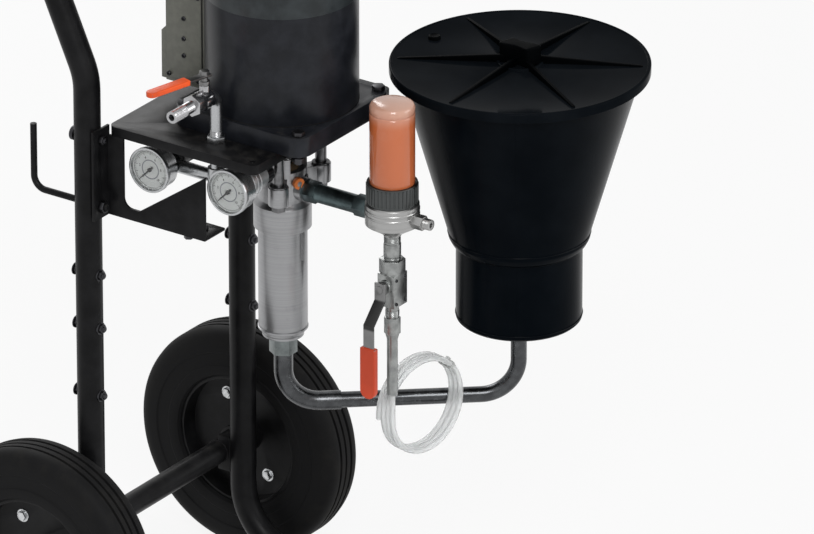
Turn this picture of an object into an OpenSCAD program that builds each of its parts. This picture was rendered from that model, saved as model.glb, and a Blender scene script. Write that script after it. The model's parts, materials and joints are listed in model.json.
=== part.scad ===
// Airless paint sprayer on a two-wheeled cart.
// An air motor on a shelf works a piston pump, which draws paint from a hopper
// and sends it through a filter to the spray hose. +Z is up and -Y is the front.
// Each module is written on the cart's own axes: X = 0 midway between the side
// tubes, Y = 0 in their plane, Z = 0 on the ground. place() then moves the whole
// to the middle of its own floor area. Millimetres.

/* [Cart] */
// Outer diameter of the side tubes
tube_d = 40; // [36:1:44]
// Distance between the side tubes' centres
tube_gap = 384; // [380:2:392]
// Height at which the side tubes start to lean back
lean_z = 920; // [910:5:940]
// Angle at which the handle leans back
lean_angle = 24; // [20:1:28]
// How far the feet reach in front of the side tubes
foot_reach = 400; // [360:10:430]
// Length of the leaning part of each side tube
lean_len = 150; // [140:10:180]

/* [Wheels] */
// Outer diameter of the tyres
wheel_d = 360; // [350:5:370]
// Width of the tyres
tyre_w = 80; // [70:2:84]
// Distance from the middle of the cart to the middle of a wheel
wheel_x = 260; // [258:1:270]
// Distance of the axle behind the side tubes' plane
axle_y = 37.5; // [37.5:0.5:40]
// Diameter of the axle shaft
axle_d = 20; // [16:1:22]
// Circle on which the rim bolts lie, as a radius
rim_bolt_r = 70; // [66:1:74]

/* [Shelf] */
// Half of the width of the mounting shelf
shelf_half = 174; // [172:1:176]
// Height of the shelf's top face
shelf_z = 863; // [863:1:863]
// Distance of the shelf's front edge in front of the tubes' plane
shelf_front = 287; // [280:1:300]
// Depth of the shelf's folded edges
shelf_fold = 15; // [12:1:18]
// Thickness of the bent sheet
sheet_t = 4; // [3:0.5:5]
// Bottom of the side plates
plate_z = 721; // [715:1:730]

/* [Air motor] */
// Distance of the motor's axis in front of the tubes' plane
motor_y = 212; // [205:1:215]
// Outer radius of the motor cylinder
motor_r = 113; // [110:1:115]
// Side of the motor's square base
base_side = 234; // [230:1:236]
// Thickness of the motor's base
base_t = 30; // [28:1:32]
// Top of the motor cylinder
cylinder_z = 1190; // [1180:5:1200]
// Radius of the air piston
air_piston_r = 101; // [98:1:101]
// Stroke of the motor and pump
stroke = 80; // [60:5:80]

/* [Pump] */
// Outer radius of the pump cylinder
pump_r = 36.5; // [36:0.5:38]
// Top of the pump cylinder
pump_top = 689; // [689:1:689]
// Bottom of the pump cylinder
pump_bottom = 516; // [516:1:516]
// Radius of the pump piston
pump_piston_r = 28; // [26:1:29]
// Radius of the circle on which the tie rods stand
tie_r = 62; // [60:1:64]
// Diameter of a tie rod
tie_d = 17; // [16:1:18]

/* [Hopper] */
// Distance from the pump's axis to the hopper's axis
hopper_reach = 349; // [345:1:360]
// Angle of the hopper pipe, from straight ahead towards the right
pipe_angle = 40; // [38:1:42]
// Height of the hopper pipe's axis above the ground
pipe_z = 400; // [398:1:402]
// Outer diameter of the hopper pipe
pipe_d = 24; // [22:1:25]
// Radius of the hopper's lower cylinder
hopper_low_r = 93.5; // [91.5:0.5:95]
// Radius of the hopper's cone at its foot
cone_low_r = 105; // [103:0.5:106]
// Radius of the hopper's cone at its rim
cone_top_r = 177; // [172:1:180]
// Bottom of the hopper
hopper_z = 525; // [525:1:525]
// Radius of the lid
lid_r = 192; // [190:1:195]
// Top face of the lid
lid_top = 934; // [934:1:934]

/* [Filter and bleed valve] */
// Distance of the filter's axis in front of the tubes' plane
filter_y = 408; // [404:1:410]
// Outer radius of the filter bowl
bowl_r = 33.5; // [32:0.5:34]
// Top of the filter bowl
bowl_top = 933; // [925:1:940]
// Height of the outlet and of the pressure arm
arm_z = 755; // [754:1:756]
// Height of the bleed valve's stem
bleed_z = 646; // [644:1:648]

/* [Return hose] */
// Outer diameter of the clear hose
hose_d = 9; // [8:0.5:9]
// Radius of the hose's hanging coil
coil_r = 71; // [68:1:74]
// Number of loops in the coil
coil_loops = 3; // [2:1:3]
// Distance from one loop to the next
coil_pitch = 9.6; // [9.5:0.1:10]

/* [Air set] */
// Height of the gauges and regulators
gauge_z = 806; // [804:1:808]
// Distance of the first gauge in front of the tubes' plane
gauge_1_y = 92.5; // [90:0.5:94]
// Distance of the second gauge in front of the tubes' plane
gauge_2_y = 232.5; // [232:0.5:236]
// Radius of a gauge case
gauge_r = 35; // [33:1:35]
// Height of the air valve's axis
air_z = 940; // [936:1:944]

/* [Hidden] */
$fn = 48;

fit = 0.05;          // radial clearance of a running fit
gap = 0.3;           // space between faces of pieces that move apart
over = 1;            // how far a cutting tool passes through a face
tube_r = tube_d / 2;
tube_wall = 2.5;
tube_x = tube_gap / 2;
foot_bend = 100;
foot_z = 35;         // height of the foot tubes' axis
lean_bend = 100;
lean_end = [0, lean_bend * (1 - cos(lean_angle)), lean_z + lean_bend * sin(lean_angle)];
lean_dir = [0, sin(lean_angle), cos(lean_angle)];
bow_start = lean_end + lean_len * lean_dir;
bow_len = 80;
bow_bend = 60;
bar_half = tube_x - bow_bend;

wheel_r = wheel_d / 2;
axle_z = wheel_r;
axle_tube_r = 17.5;
hub_half = tyre_w / 2 + 0.5;
axle_half = wheel_x + hub_half + 8;
rim_r = 104;

hook_z = 740;
hook_r = 5;
hook_back = 98;
hook_bend = 20;
bracket_z = 846;
bolt_heights = [628, 542, 433];
bolt_r = 4;
flange_x = 210;      // outer edge of a side plate's flange

base_z = shelf_z;
base_top = base_z + base_t;
coupling_z = 800;
coupling_h = 34;
coupling_r = 19;
recess_r = 23;
recess_top = coupling_z + coupling_h + stroke + 4;
boss_top = recess_top + 14;
piston_z = boss_top + 13;
piston_h = 30;
rod_r = 15;
pump_rod_r = 14;
joint_z = coupling_z + coupling_h / 2;
cap_h = 45;
block_x = 45;
block_back = 36;
block_top = 1182;
spool_r = 11;
spool_z = 1010;
spool_h = 110;
spool_travel = 12;

pump_piston_z = 560;
pump_piston_h = 40;
ball_r = 9;
ball_seat_r = 7;
ball_chamber_r = 10.5;
ball_lift = 4;
seat_z = pump_piston_z + 12;
inlet_ball_r = 12;
inlet_seat_r = 9;
inlet_chamber_r = 13.5;
inlet_seat_z = pump_bottom + 12;
nut_z = 483;
nut_h = 29;
elbow_d = 28.5;
elbow_bend = 54;
riser_bend = 56;

hopper_wall = 4;
collar_z = 646;
cone_z = 666;
rim_z = 928;
cone_rim_z = 918;
hopper_x = hopper_reach * sin(pipe_angle);
hopper_y = motor_y + hopper_reach * cos(pipe_angle);

manifold_r = 40;
manifold_top = 776;
gauge_face = -169;
gauge_depth = 28;
bar_x = -130;
air_x = -158;
riser_y = 187;
lever_angle = 166.5;

// The floor area's middle, to which place() moves the origin
centre_x = (hopper_x + lid_r - axle_half) / 2;
centre_y = (axle_y + wheel_r - hopper_y - lid_r) / 2;

// ---------- shared shapes ----------

module place() {
    translate([-centre_x, -centre_y, 0]) children();
}

// A bent rod that starts at the origin, heads up and curves towards +Y
module elbow(bend_radius, r, angle) {
    translate([0, bend_radius, 0])
        rotate([90, 0, -90])
            rotate_extrude(angle = angle)
                translate([bend_radius, 0])
                    circle(r);
}

// A rod or tool that runs along Y, from the front one to the rear one
module y_rod(r, from, to) {
    translate([0, to, 0])
        rotate([90, 0, 0])
            cylinder(r = r, h = to - from);
}

// A rod or tool that runs along X
module x_rod(r, from, to) {
    translate([from, 0, 0])
        rotate([0, 90, 0])
            cylinder(r = r, h = to - from);
}

// A ring about Z
module ring(outer, inner, z, h) {
    translate([0, 0, z])
        difference() {
            cylinder(r = outer, h = h);
            translate([0, 0, -over]) cylinder(r = inner, h = h + 2 * over);
        }
}

// A hexagonal bar, given across its flats
module hex_bar(flats, h) {
    cylinder(r = flats / 2 / cos(30), h = h, $fn = 6);
}

// A rectangle with round corners
module round_rect(w, d, r) {
    square([w - 2 * r, d], center = true);
    square([w, d - 2 * r], center = true);
    for (x = [-1, 1], y = [-1, 1])
        translate([x * (w / 2 - r), y * (d / 2 - r)]) circle(r);
}

module at_motor() {
    translate([0, -motor_y, 0]) children();
}

module at_hopper() {
    translate([hopper_x, -hopper_y, 0]) children();
}

module at_filter() {
    translate([0, -filter_y, 0]) children();
}

module both_sides() {
    for (side = [-1, 1]) translate([side * tube_x, 0, 0]) children();
}

// ---------- cart ----------

// The line of one side tube, as a solid of radius r
module side_run(r) {
    translate([0, 0, foot_z + foot_bend])
        cylinder(r = r, h = lean_z - foot_z - foot_bend);
    translate([0, 0, lean_z]) elbow(lean_bend, r, lean_angle);
    translate(lean_end) rotate([-lean_angle, 0, 0]) cylinder(r = r, h = lean_len);
    translate([0, 0, foot_z + foot_bend]) rotate([180, 0, 0]) elbow(foot_bend, r, 90);
    translate([0, 0, foot_z]) y_rod(r, -foot_reach, -foot_bend);
}

// Holes through a side tube for its bolts and its hose hook
module side_holes() {
    for (z = concat(bolt_heights, [bracket_z]))
        translate([0, 0, z]) y_rod(bolt_r, -tube_d, tube_d);
    translate([0, 0, hook_z]) y_rod(hook_r, -tube_d, tube_d);
}

module side_tube(side) {
    color("#151517")
        translate([side * tube_x, 0, 0])
            difference() {
                side_run(tube_r);
                side_run(tube_r - tube_wall);
                side_holes();
            }
}

// The line of the handle bow, which carries on from the side tubes
module bow_run(r) {
    for (side = [-1, 1])
        translate([side * tube_x, 0, 0])
            translate(bow_start)
                rotate([-lean_angle, 0, 0]) {
                    cylinder(r = r, h = bow_len);
                    translate([0, 0, bow_len]) rotate([0, 0, side * 90]) elbow(bow_bend, r, 90);
                }
    translate(bow_start)
        rotate([-lean_angle, 0, 0])
            translate([0, 0, bow_len + bow_bend]) x_rod(r, -bar_half, bar_half);
}

module handle_bow() {
    color("#151517")
        difference() {
            bow_run(tube_r);
            bow_run(tube_r - tube_wall);
        }
}

module handle_grips() {
    grip_len = 105;
    grip_gap = 8;
    color("#101012")
        translate(bow_start)
            rotate([-lean_angle, 0, 0])
                translate([0, 0, bow_len + bow_bend])
                    for (side = [-1, 1])
                        rotate([0, side * 90, 0])
                            ring(tube_r + 3.5, tube_r, grip_gap, grip_len);
}

module foot_bar() {
    bar_r = 16;
    color("#151517")
        translate([0, -foot_reach + 30, foot_z])
            difference() {
                x_rod(bar_r, -tube_x, tube_x);
                x_rod(bar_r - tube_wall, -tube_x - over, tube_x + over);
                both_sides() y_rod(tube_r, -tube_d, tube_d);
            }
}

// Saddle feet under the foot tubes and plugs in their ends
module rubber_feet() {
    foot_h = 30;
    plug_lip = 4;
    color("#0e0e0f")
        both_sides() {
            difference() {
                translate([0, -foot_reach + 70, 0]) cylinder(r = tube_r + 3, h = foot_h);
                translate([0, 0, foot_z]) y_rod(tube_r, -foot_reach - over, 0);
            }
            translate([0, 0, foot_z]) {
                y_rod(tube_r, -foot_reach - plug_lip, -foot_reach);
                y_rod(tube_r - tube_wall, -foot_reach, -foot_reach + 18);
            }
        }
}

module axle_tube() {
    saddle_w = 26;
    saddle_h = 56;
    color("#151517")
        difference() {
            translate([0, axle_y, axle_z]) {
                x_rod(axle_tube_r, -wheel_x + hub_half + 7, wheel_x - hub_half - 7);
                both_sides()
                    translate([-saddle_w / 2, -axle_y + 8, -saddle_h / 2])
                        cube([saddle_w, axle_y - 8, saddle_h]);
            }
            translate([0, axle_y, axle_z]) x_rod(axle_d / 2, -wheel_x, wheel_x);
            both_sides() cylinder(r = tube_r, h = lean_z);
        }
}

// The shaft, with a washer and a cap nut at each end
module axle_shaft() {
    washer_t = 6.5;
    color("#8f9396")
        translate([0, axle_y, axle_z]) {
            x_rod(axle_d / 2, -axle_half + 2, axle_half - 2);
            for (side = [-1, 1])
                rotate([0, side * 90, 0]) {
                    ring(axle_d / 2 + 7, axle_d / 2, wheel_x - hub_half - 7, washer_t);
                    ring(axle_d / 2 + 6, axle_d / 2, wheel_x + hub_half + gap, 2);
                    translate([0, 0, wheel_x + hub_half + gap + 2])
                        difference() {
                            cylinder(r = axle_d / 2 + 4, h = 8 - gap - 2);
                            translate([0, 0, -over]) cylinder(r = axle_d / 2, h = 8 - gap - 3);
                        }
                }
        }
}

module tyre(side) {
    bead_r = rim_r;
    tread = 22;
    shoulder = 16;
    half = tyre_w / 2;
    color("#121213")
        translate([side * wheel_x, axle_y, axle_z])
            rotate([0, 90, 0])
                rotate_extrude() {
                    translate([bead_r, -half + 8]) square([wheel_r - bead_r - tread, tyre_w - 16]);
                    translate([wheel_r - tread - shoulder - 14, -half])
                        square([14 + shoulder - 6, tyre_w]);
                    translate([bead_r + 8, -half + 8]) circle(8);
                    translate([bead_r + 8, half - 8]) circle(8);
                    translate([bead_r + 8, -half]) square([20, tyre_w]);
                    translate([wheel_r - tread, -half + tread]) circle(tread);
                    translate([wheel_r - tread, half - tread]) circle(tread);
                    translate([wheel_r - tread, -half + tread]) square([tread, tyre_w - 2 * tread]);
                }
}

module rim(side) {
    disc_t = 6;
    hub_r = 26;
    color("#1b1b1d")
        translate([side * wheel_x, axle_y, axle_z])
            rotate([0, 90, 0]) {
                difference() {
                    rotate_extrude() {
                        translate([0, -hub_half]) square([hub_r, 2 * hub_half]);
                        translate([0, -disc_t / 2]) square([rim_r, disc_t]);
                        translate([rim_r - 5, -tyre_w / 2 + 8]) square([5, tyre_w - 16]);
                    }
                    translate([0, 0, -hub_half - over])
                        cylinder(r = axle_d / 2 + fit, h = 2 * hub_half + 2 * over);
                }
                for (a = [148, 328])
                    rotate([0, 0, a])
                        translate([rim_bolt_r, 0, -disc_t / 2 - 6])
                            hex_bar(13, disc_t + 12);
            }
}

module hose_hooks() {
    front = -tube_r - sheet_t - 12;
    color("#151517")
        both_sides()
            translate([0, 0, hook_z]) {
                y_rod(hook_r, front, hook_back - hook_bend);
                translate([0, hook_back - hook_bend, 0])
                    rotate([90, 0, 180]) elbow(hook_bend, hook_r, 90);
                translate([0, hook_back, hook_bend]) cylinder(r = hook_r, h = 82);
            }
}

// Hexagon-headed bolts through the side tubes, and the nuts that hold them
module frame_bolts() {
    front = -tube_r - sheet_t;
    color("#3c3e40") {
        both_sides() {
            for (z = bolt_heights)
                translate([0, 0, z]) {
                    y_rod(bolt_r, -tube_r - 8, tube_r + 5);
                    translate([0, -tube_r, 0]) rotate([90, 0, 0]) hex_bar(13, 5);
                    translate([0, tube_r + 5, 0]) rotate([90, 0, 0]) hex_bar(13, 5);
                }
            translate([0, 0, bracket_z]) {
                y_rod(bolt_r, front - 10, tube_r + 3);
                translate([0, front, 0]) rotate([90, 0, 0]) hex_bar(13, 7);
                y_rod(11, tube_r, tube_r + 6);
            }
            translate([0, front, hook_z])
                rotate([90, 0, 0])
                    difference() {
                        hex_bar(17, 8);
                        translate([0, 0, -over]) cylinder(r = hook_r, h = 12);
                    }
        }
        for (spot = [[-160, -158], [-142, -175]])
            translate([spot[0], spot[1], plate_z - 9]) {
                hex_bar(13, 6);
                translate([0, 0, 6]) cylinder(r = 9, h = 3);
                translate([0, 0, 9]) cylinder(r = bolt_r, h = sheet_t + 4);
            }
    }
}

module shelf_outline(inset) {
    depth = shelf_front - tube_r - sheet_t;
    translate([0, -tube_r - sheet_t - depth / 2])
        round_rect(2 * (shelf_half - inset), depth - 2 * inset, 12 - inset);
}

module shelf() {
    color("#161618")
        difference() {
            translate([0, 0, shelf_z - shelf_fold])
                linear_extrude(shelf_fold) shelf_outline(0);
            translate([0, 0, shelf_z - shelf_fold - over])
                linear_extrude(shelf_fold - sheet_t + over) shelf_outline(sheet_t);
            at_motor() {
                cylinder(r = recess_r + 3, h = shelf_z + over);
                for (a = [-30, 90, 210])
                    rotate([0, 0, a]) translate([tie_r, 0, 0]) cylinder(r = tie_d / 2, h = shelf_z + over);
                base_bolt_spots() cylinder(r = 5, h = shelf_z + over);
            }
            translate([bar_x, -riser_y, 0]) cylinder(r = 12, h = shelf_z + over);
            for (x = [-1, 1])
                translate([x * (shelf_half - 14), -shelf_front + 14, 0])
                    cylinder(r = 4.5, h = shelf_z + over);
        }
}

// One side plate: a flange in front of its tube and a web, with or without an arm
module side_plate(side, with_arm) {
    stile = 51;
    arm_front = 197;
    corner = 15;
    arm_top = 739;
    top = shelf_z - shelf_fold;
    bend = [for (a = [0:15:90]) [stile + corner - corner * cos(a), arm_top + corner - corner * sin(a)]];
    low = with_arm
        ? concat([[arm_front, plate_z], [arm_front, 822], [79, arm_top]],
                 [for (i = [len(bend) - 1:-1:0]) bend[i]])
        : [[stile, plate_z]];
    outline = concat([[tube_r, plate_z]], low, [[stile, top], [tube_r, top]]);
    mirror([side > 0 ? 1 : 0, 0, 0])
        difference() {
            union() {
                translate([-shelf_half, 0, 0])
                    rotate([90, 0, 90])
                        linear_extrude(sheet_t)
                            polygon([for (p = outline) [-p[0], p[1]]]);
                translate([-flange_x, -tube_r - sheet_t, plate_z])
                    cube([flange_x - shelf_half + sheet_t, sheet_t, shelf_z - plate_z]);
                if (with_arm)
                    translate([-shelf_half, -arm_front, plate_z])
                        cube([50, arm_front - 142, sheet_t]);
            }
            translate([-tube_x, 0, bracket_z]) y_rod(bolt_r, -tube_d, tube_d);
            translate([-tube_x, 0, hook_z]) y_rod(hook_r, -tube_d, tube_d);
            for (spot = [[-160, -158], [-142, -175]])
                translate([spot[0], spot[1], plate_z - over]) cylinder(r = bolt_r, h = sheet_t + 2 * over);
        }
}

module side_plates() {
    color("#161618") {
        side_plate(-1, true);
        side_plate(1, false);
    }
}

// ---------- air motor ----------

module base_bolt_spots() {
    spot = base_side / 2 - 16;
    for (x = [-1, 1], y = [-1, 1]) translate([x * spot, y * spot, 0]) children();
}

module cap_screw_spots() {
    for (a = [30:60:330]) rotate([0, 0, a]) translate([107, 0, 0]) children();
}

module tie_spots() {
    for (a = [-30, 90, 210]) rotate([0, 0, a]) translate([tie_r, 0, 0]) children();
}

// The square base, with the recess into which the rod coupling rises
module motor_base() {
    boss_r = 38;
    color("#1d2024")
        at_motor()
            difference() {
                union() {
                    translate([0, 0, base_z]) linear_extrude(base_t) round_rect(base_side, base_side, 24);
                    ring(air_piston_r + fit, 90, base_top, 10);
                    translate([0, 0, base_top]) cylinder(r = boss_r, h = boss_top - base_top);
                }
                translate([0, 0, base_z - over]) cylinder(r = recess_r, h = recess_top - base_z + over);
                cylinder(r = rod_r + 5, h = boss_top + over);
                tie_spots() translate([0, 0, base_z - over]) cylinder(r = tie_d / 2, h = 18 + over);
                base_bolt_spots() cylinder(r = 5, h = base_top + over);
            }
}

module motor_cylinder() {
    color("#1f2228")
        at_motor()
            difference() {
                ring(motor_r, air_piston_r + fit, base_top, cylinder_z - base_top);
                cap_screw_spots() translate([0, 0, cylinder_z - 14]) cylinder(r = 2.5, h = 14 + over);
            }
}

module motor_cap() {
    rim_h = 14;
    color("#1d2024")
        at_motor()
            difference() {
                translate([0, 0, cylinder_z])
                    rotate_extrude()
                        polygon([[0, 22], [96, 22], [96, 0], [115, 0], [115, rim_h - 2], [113, rim_h],
                                 [101, rim_h], [99, 34], [92, cap_h - 3], [82, cap_h], [0, cap_h]]);
                cap_screw_spots() translate([0, 0, cylinder_z - over]) cylinder(r = 2.5, h = rim_h + 2 * over);
            }
}

// Base bolts at the corners and screws round the cover
module motor_bolts() {
    color("#3c3e40")
        at_motor() {
            base_bolt_spots() {
                translate([0, 0, shelf_z - shelf_fold]) cylinder(r = 5, h = base_top - shelf_z + shelf_fold);
                translate([0, 0, base_top]) hex_bar(17, 7);
                translate([0, 0, shelf_z - sheet_t - 8]) hex_bar(17, 8);
            }
            cap_screw_spots() {
                translate([0, 0, cylinder_z - 14]) cylinder(r = 2.5, h = 28);
                translate([0, 0, cylinder_z + 14]) cylinder(r = 4.5, h = 5);
            }
        }
}

module rod_bushing() {
    color("#a98a4c") at_motor() ring(rod_r + 5, rod_r + fit, recess_top, boss_top - recess_top);
}

// The block that holds the spool, with an exhaust cover low on its back
module air_valve_block() {
    depth = motor_y - motor_r + 6 - block_back;
    lid_t = 8;
    cover_t = 11;
    cover_top = 968;
    color("#484e41")
        difference() {
            union() {
                translate([-block_x, -block_back - depth, base_top])
                    cube([2 * block_x, depth, block_top - base_top]);
                translate([-block_x + 3, -block_back - depth + 3, block_top])
                    cube([2 * block_x - 6, depth - 6, lid_t]);
                translate([-block_x + 4, -block_back, 0])
                    rotate([90, 0, 90])
                        linear_extrude(2 * block_x - 8)
                            polygon([[0, base_top], [cover_t, base_top], [cover_t, cover_top],
                                     [0, cover_top + cover_t]]);
            }
            at_motor() cylinder(r = motor_r, h = cylinder_z + over);
            at_motor() translate([0, 0, cylinder_z]) cylinder(r = 116, h = cap_h);
            translate([0, -block_back - depth / 2, spool_z - 4])
                cylinder(r = spool_r + fit, h = spool_h + spool_travel + 8);
        }
}

// The spool that sends air to either side of the piston
module valve_spool() {
    depth = motor_y - motor_r + 6 - block_back;
    land_h = 22;
    color("#9a9da0")
        translate([0, -block_back - depth / 2, spool_z]) {
            cylinder(r = spool_r - 4, h = spool_h);
            for (i = [0:2])
                translate([0, 0, i * (spool_h - land_h) / 2]) cylinder(r = spool_r, h = land_h);
        }
}

module air_piston() {
    color("#b0b3b6")
        at_motor()
            difference() {
                ring(air_piston_r, rod_r, piston_z, piston_h);
                translate([0, 0, piston_z + piston_h - 10])
                    ring(air_piston_r - 14, rod_r + 16, 0, 11);
            }
}

// The chromed rod from the air piston down to the coupling, with its nut
module piston_rod() {
    color("#b9bcbf")
        at_motor() {
            translate([0, 0, joint_z]) cylinder(r = rod_r, h = piston_z + piston_h - joint_z + 6);
            translate([0, 0, piston_z + piston_h])
                difference() {
                    hex_bar(46, 16);
                    translate([0, 0, -over]) cylinder(r = rod_r, h = 7 + over);
                }
        }
}

module rod_coupling() {
    color("#2b2c2e")
        at_motor()
            difference() {
                translate([0, 0, coupling_z]) cylinder(r = coupling_r, h = coupling_h);
                translate([0, 0, coupling_z - over]) cylinder(r = pump_rod_r, h = coupling_h);
                translate([0, 0, joint_z]) cylinder(r = rod_r, h = coupling_h);
            }
}

// ---------- pump ----------

// Three rods from the motor's base to the ears of the pump head, with nuts
module tie_rods() {
    ear_top = 776;
    thread_r = 6;
    color("#5c5e60")
        at_motor()
            tie_spots() {
                translate([0, 0, ear_top]) cylinder(r = tie_d / 2, h = base_z + 18 - ear_top);
                translate([0, 0, 736]) cylinder(r = thread_r, h = ear_top - 736);
                translate([0, 0, 738])
                    difference() {
                        hex_bar(19, 10);
                        translate([0, 0, -over]) cylinder(r = thread_r, h = 12);
                    }
            }
}

// The pump's head, with its wet cup open at the front
module pump_head() {
    ear_top = 776;
    ear_h = 28;
    packing_z = 762;
    cup_top = 806;
    notch = [30, 40];
    color("#848688")
        at_motor()
            difference() {
                union() {
                    translate([0, 0, pump_top]) cylinder(r = 43, h = 38);
                    translate([0, 0, pump_top + 38]) cylinder(r1 = 43, r2 = 36, h = 7);
                    translate([0, 0, pump_top]) cylinder(r = 36, h = cup_top - pump_top);
                    tie_spots() translate([0, 0, ear_top - ear_h]) cylinder(r = 15, h = ear_h);
                    for (a = [-30, 90, 210])
                        rotate([0, 0, a])
                            translate([0, -10, ear_top - ear_h]) cube([tie_r, 20, ear_h]);
                    translate([0, 0, arm_z]) y_rod(18, -43, 0);
                    rotate([0, 0, -110]) translate([0, 0, 769]) x_rod(7, 0, 44);
                }
                translate([0, 0, pump_top - over]) cylinder(r = 20, h = packing_z - pump_top + over);
                translate([0, 0, packing_z]) cylinder(r = 24, h = 20);
                translate([0, 0, packing_z + 20]) cylinder(r = 29, h = cup_top - packing_z);
                translate([0, 0, arm_z]) y_rod(6, -44, 0);
                tie_spots() cylinder(r = 6, h = cup_top);
                rotate([0, 0, -92])
                    translate([12, -notch[1] / 2, packing_z + 22]) cube([notch[0], notch[1], cup_top]);
            }
}

module throat_packing() {
    color("#c9b48a") at_motor() ring(24, pump_rod_r + fit, 762, 20);
}

module pump_cylinder() {
    slot_angle = 267;
    slot_h = 50;
    color("#878a8c")
        at_motor()
            difference() {
                rotate_extrude()
                    polygon([[pump_piston_r + fit, pump_bottom], [31, pump_bottom],
                             [pump_r, pump_bottom + 9], [pump_r, pump_top],
                             [pump_piston_r + fit, pump_top]]);
                rotate([0, 0, slot_angle])
                    translate([pump_r - 2, -2, pump_top - slot_h]) cube([4, 4, slot_h + over]);
            }
}

// The pump rod, with the piston and the cage of its ball at the foot
module pump_rod() {
    cage_z = seat_z + sqrt(ball_r * ball_r - ball_seat_r * ball_seat_r) + ball_r + ball_lift + gap;
    color("#b9bcbf")
        at_motor()
            difference() {
                union() {
                    translate([0, 0, pump_piston_z]) cylinder(r = pump_piston_r, h = pump_piston_h);
                    translate([0, 0, pump_piston_z]) cylinder(r = pump_rod_r, h = joint_z - pump_piston_z);
                }
                translate([0, 0, pump_piston_z - over]) cylinder(r = ball_seat_r, h = 20);
                translate([0, 0, seat_z]) cylinder(r = ball_chamber_r, h = cage_z - seat_z);
            }
}

module piston_ball() {
    color("#c8cacc")
        at_motor()
            translate([0, 0, seat_z + sqrt(ball_r * ball_r - ball_seat_r * ball_seat_r) + fit])
                sphere(r = ball_r);
}

// The foot valve's seat and cage, screwed into the pump cylinder
module inlet_housing() {
    cage_z = inlet_seat_z + sqrt(inlet_ball_r * inlet_ball_r - inlet_seat_r * inlet_seat_r)
        + inlet_ball_r + ball_lift + gap;
    color("#77797b")
        at_motor()
            difference() {
                union() {
                    translate([0, 0, pump_bottom]) cylinder(r = pump_piston_r + fit, h = cage_z + 3 - pump_bottom);
                    translate([0, 0, nut_z + nut_h]) cylinder(r = 31, h = pump_bottom - nut_z - nut_h);
                    translate([0, 0, nut_z + 5]) cylinder(r = 16, h = nut_h);
                }
                translate([0, 0, nut_z]) cylinder(r = inlet_seat_r, h = cage_z - nut_z - 5);
                translate([0, 0, inlet_seat_z]) cylinder(r = inlet_chamber_r, h = cage_z - inlet_seat_z);
                translate([0, 0, inlet_seat_z]) cylinder(r = 7, h = cage_z);
            }
}

module inlet_ball() {
    color("#c8cacc")
        at_motor()
            translate([0, 0, inlet_seat_z + fit
                       + sqrt(inlet_ball_r * inlet_ball_r - inlet_seat_r * inlet_seat_r)])
                sphere(r = inlet_ball_r);
}

module union_nut() {
    color("#7c8383")
        at_motor()
            translate([0, 0, nut_z])
                difference() {
                    hex_bar(36.4, nut_h);
                    translate([0, 0, -over]) cylinder(r = elbow_d / 2, h = 6 + over);
                    translate([0, 0, 5]) cylinder(r = 16, h = nut_h);
                }
}

// ---------- hopper ----------

// The pipe's line from the pump down, forward and up to the hopper.
// The elbow end and the long end have radii of their own.
module pipe_run(elbow_r, long_r, extra) {
    elbow_end = 85;
    translate([0, 0, pipe_z + elbow_bend])
        cylinder(r = elbow_r, h = nut_z + 5 - pipe_z - elbow_bend + extra);
    translate([0, 0, pipe_z + elbow_bend]) rotate([0, 180, 0]) elbow(elbow_bend, elbow_r, 90);
    translate([0, 0, pipe_z]) {
        y_rod(elbow_r, elbow_bend, elbow_end);
        y_rod(long_r, elbow_end, hopper_reach - riser_bend);
    }
    translate([0, hopper_reach - riser_bend, pipe_z])
        rotate([90, 0, 180]) elbow(riser_bend, long_r, 90);
    translate([0, hopper_reach, pipe_z + riser_bend])
        cylinder(r = long_r, h = hopper_z + 4 - pipe_z - riser_bend + extra);
}

module hopper_pipe() {
    bore_r = 9;
    color("#5f6264")
        at_motor()
            rotate([0, 0, 180 + pipe_angle])
                difference() {
                    pipe_run(elbow_d / 2, pipe_d / 2, 0);
                    pipe_run(bore_r, bore_r, over);
                }
}

module hopper_bowl() {
    wall = hopper_wall;
    color("#0d1114")
        at_hopper()
            rotate_extrude()
                polygon([
                    [pipe_d / 2, hopper_z - 10], [pipe_d / 2 + 10, hopper_z - 10],
                    [pipe_d / 2 + 10, hopper_z], [hopper_low_r - 4, hopper_z],
                    [hopper_low_r, hopper_z + 4], [hopper_low_r, collar_z],
                    [hopper_low_r + 7, collar_z + 5], [cone_low_r, collar_z + 14],
                    [cone_low_r, cone_z], [cone_low_r - wall, cone_z],
                    [cone_low_r - wall, cone_z - 10], [hopper_low_r - wall, cone_z - 10],
                    [hopper_low_r - wall, hopper_z + 24], [pipe_d / 2 + 8, hopper_z + 12],
                    [pipe_d / 2, hopper_z + 12]
                ]);
}

// The cone is one moulding with the bowl, but a solid of its own
module hopper_cone() {
    color("#0d1114")
        at_hopper()
            rotate_extrude()
                polygon([
                    [cone_low_r - hopper_wall, cone_z], [cone_low_r, cone_z],
                    [cone_top_r, cone_rim_z], [cone_top_r + 7, cone_rim_z],
                    [cone_top_r + 7, rim_z], [cone_top_r - 1, rim_z]
                ]);
}

// A perforated plate that lies on the ledge at the foot of the cone
module strainer() {
    pitch = 17;
    plate_r = cone_low_r - hopper_wall - 1;
    color("#8d9092")
        at_hopper()
            translate([0, 0, cone_z - 10]) {
                ring(plate_r, hopper_low_r - hopper_wall - 4, 0, 5);
                difference() {
                    cylinder(r = hopper_low_r - hopper_wall - 4, h = 2);
                    for (k = [1:4])
                        for (a = [0:60 / k:359])
                            rotate([0, 0, a]) translate([k * pitch, 0, -over]) cylinder(r = 4, h = 4);
                }
            }
}

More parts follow.
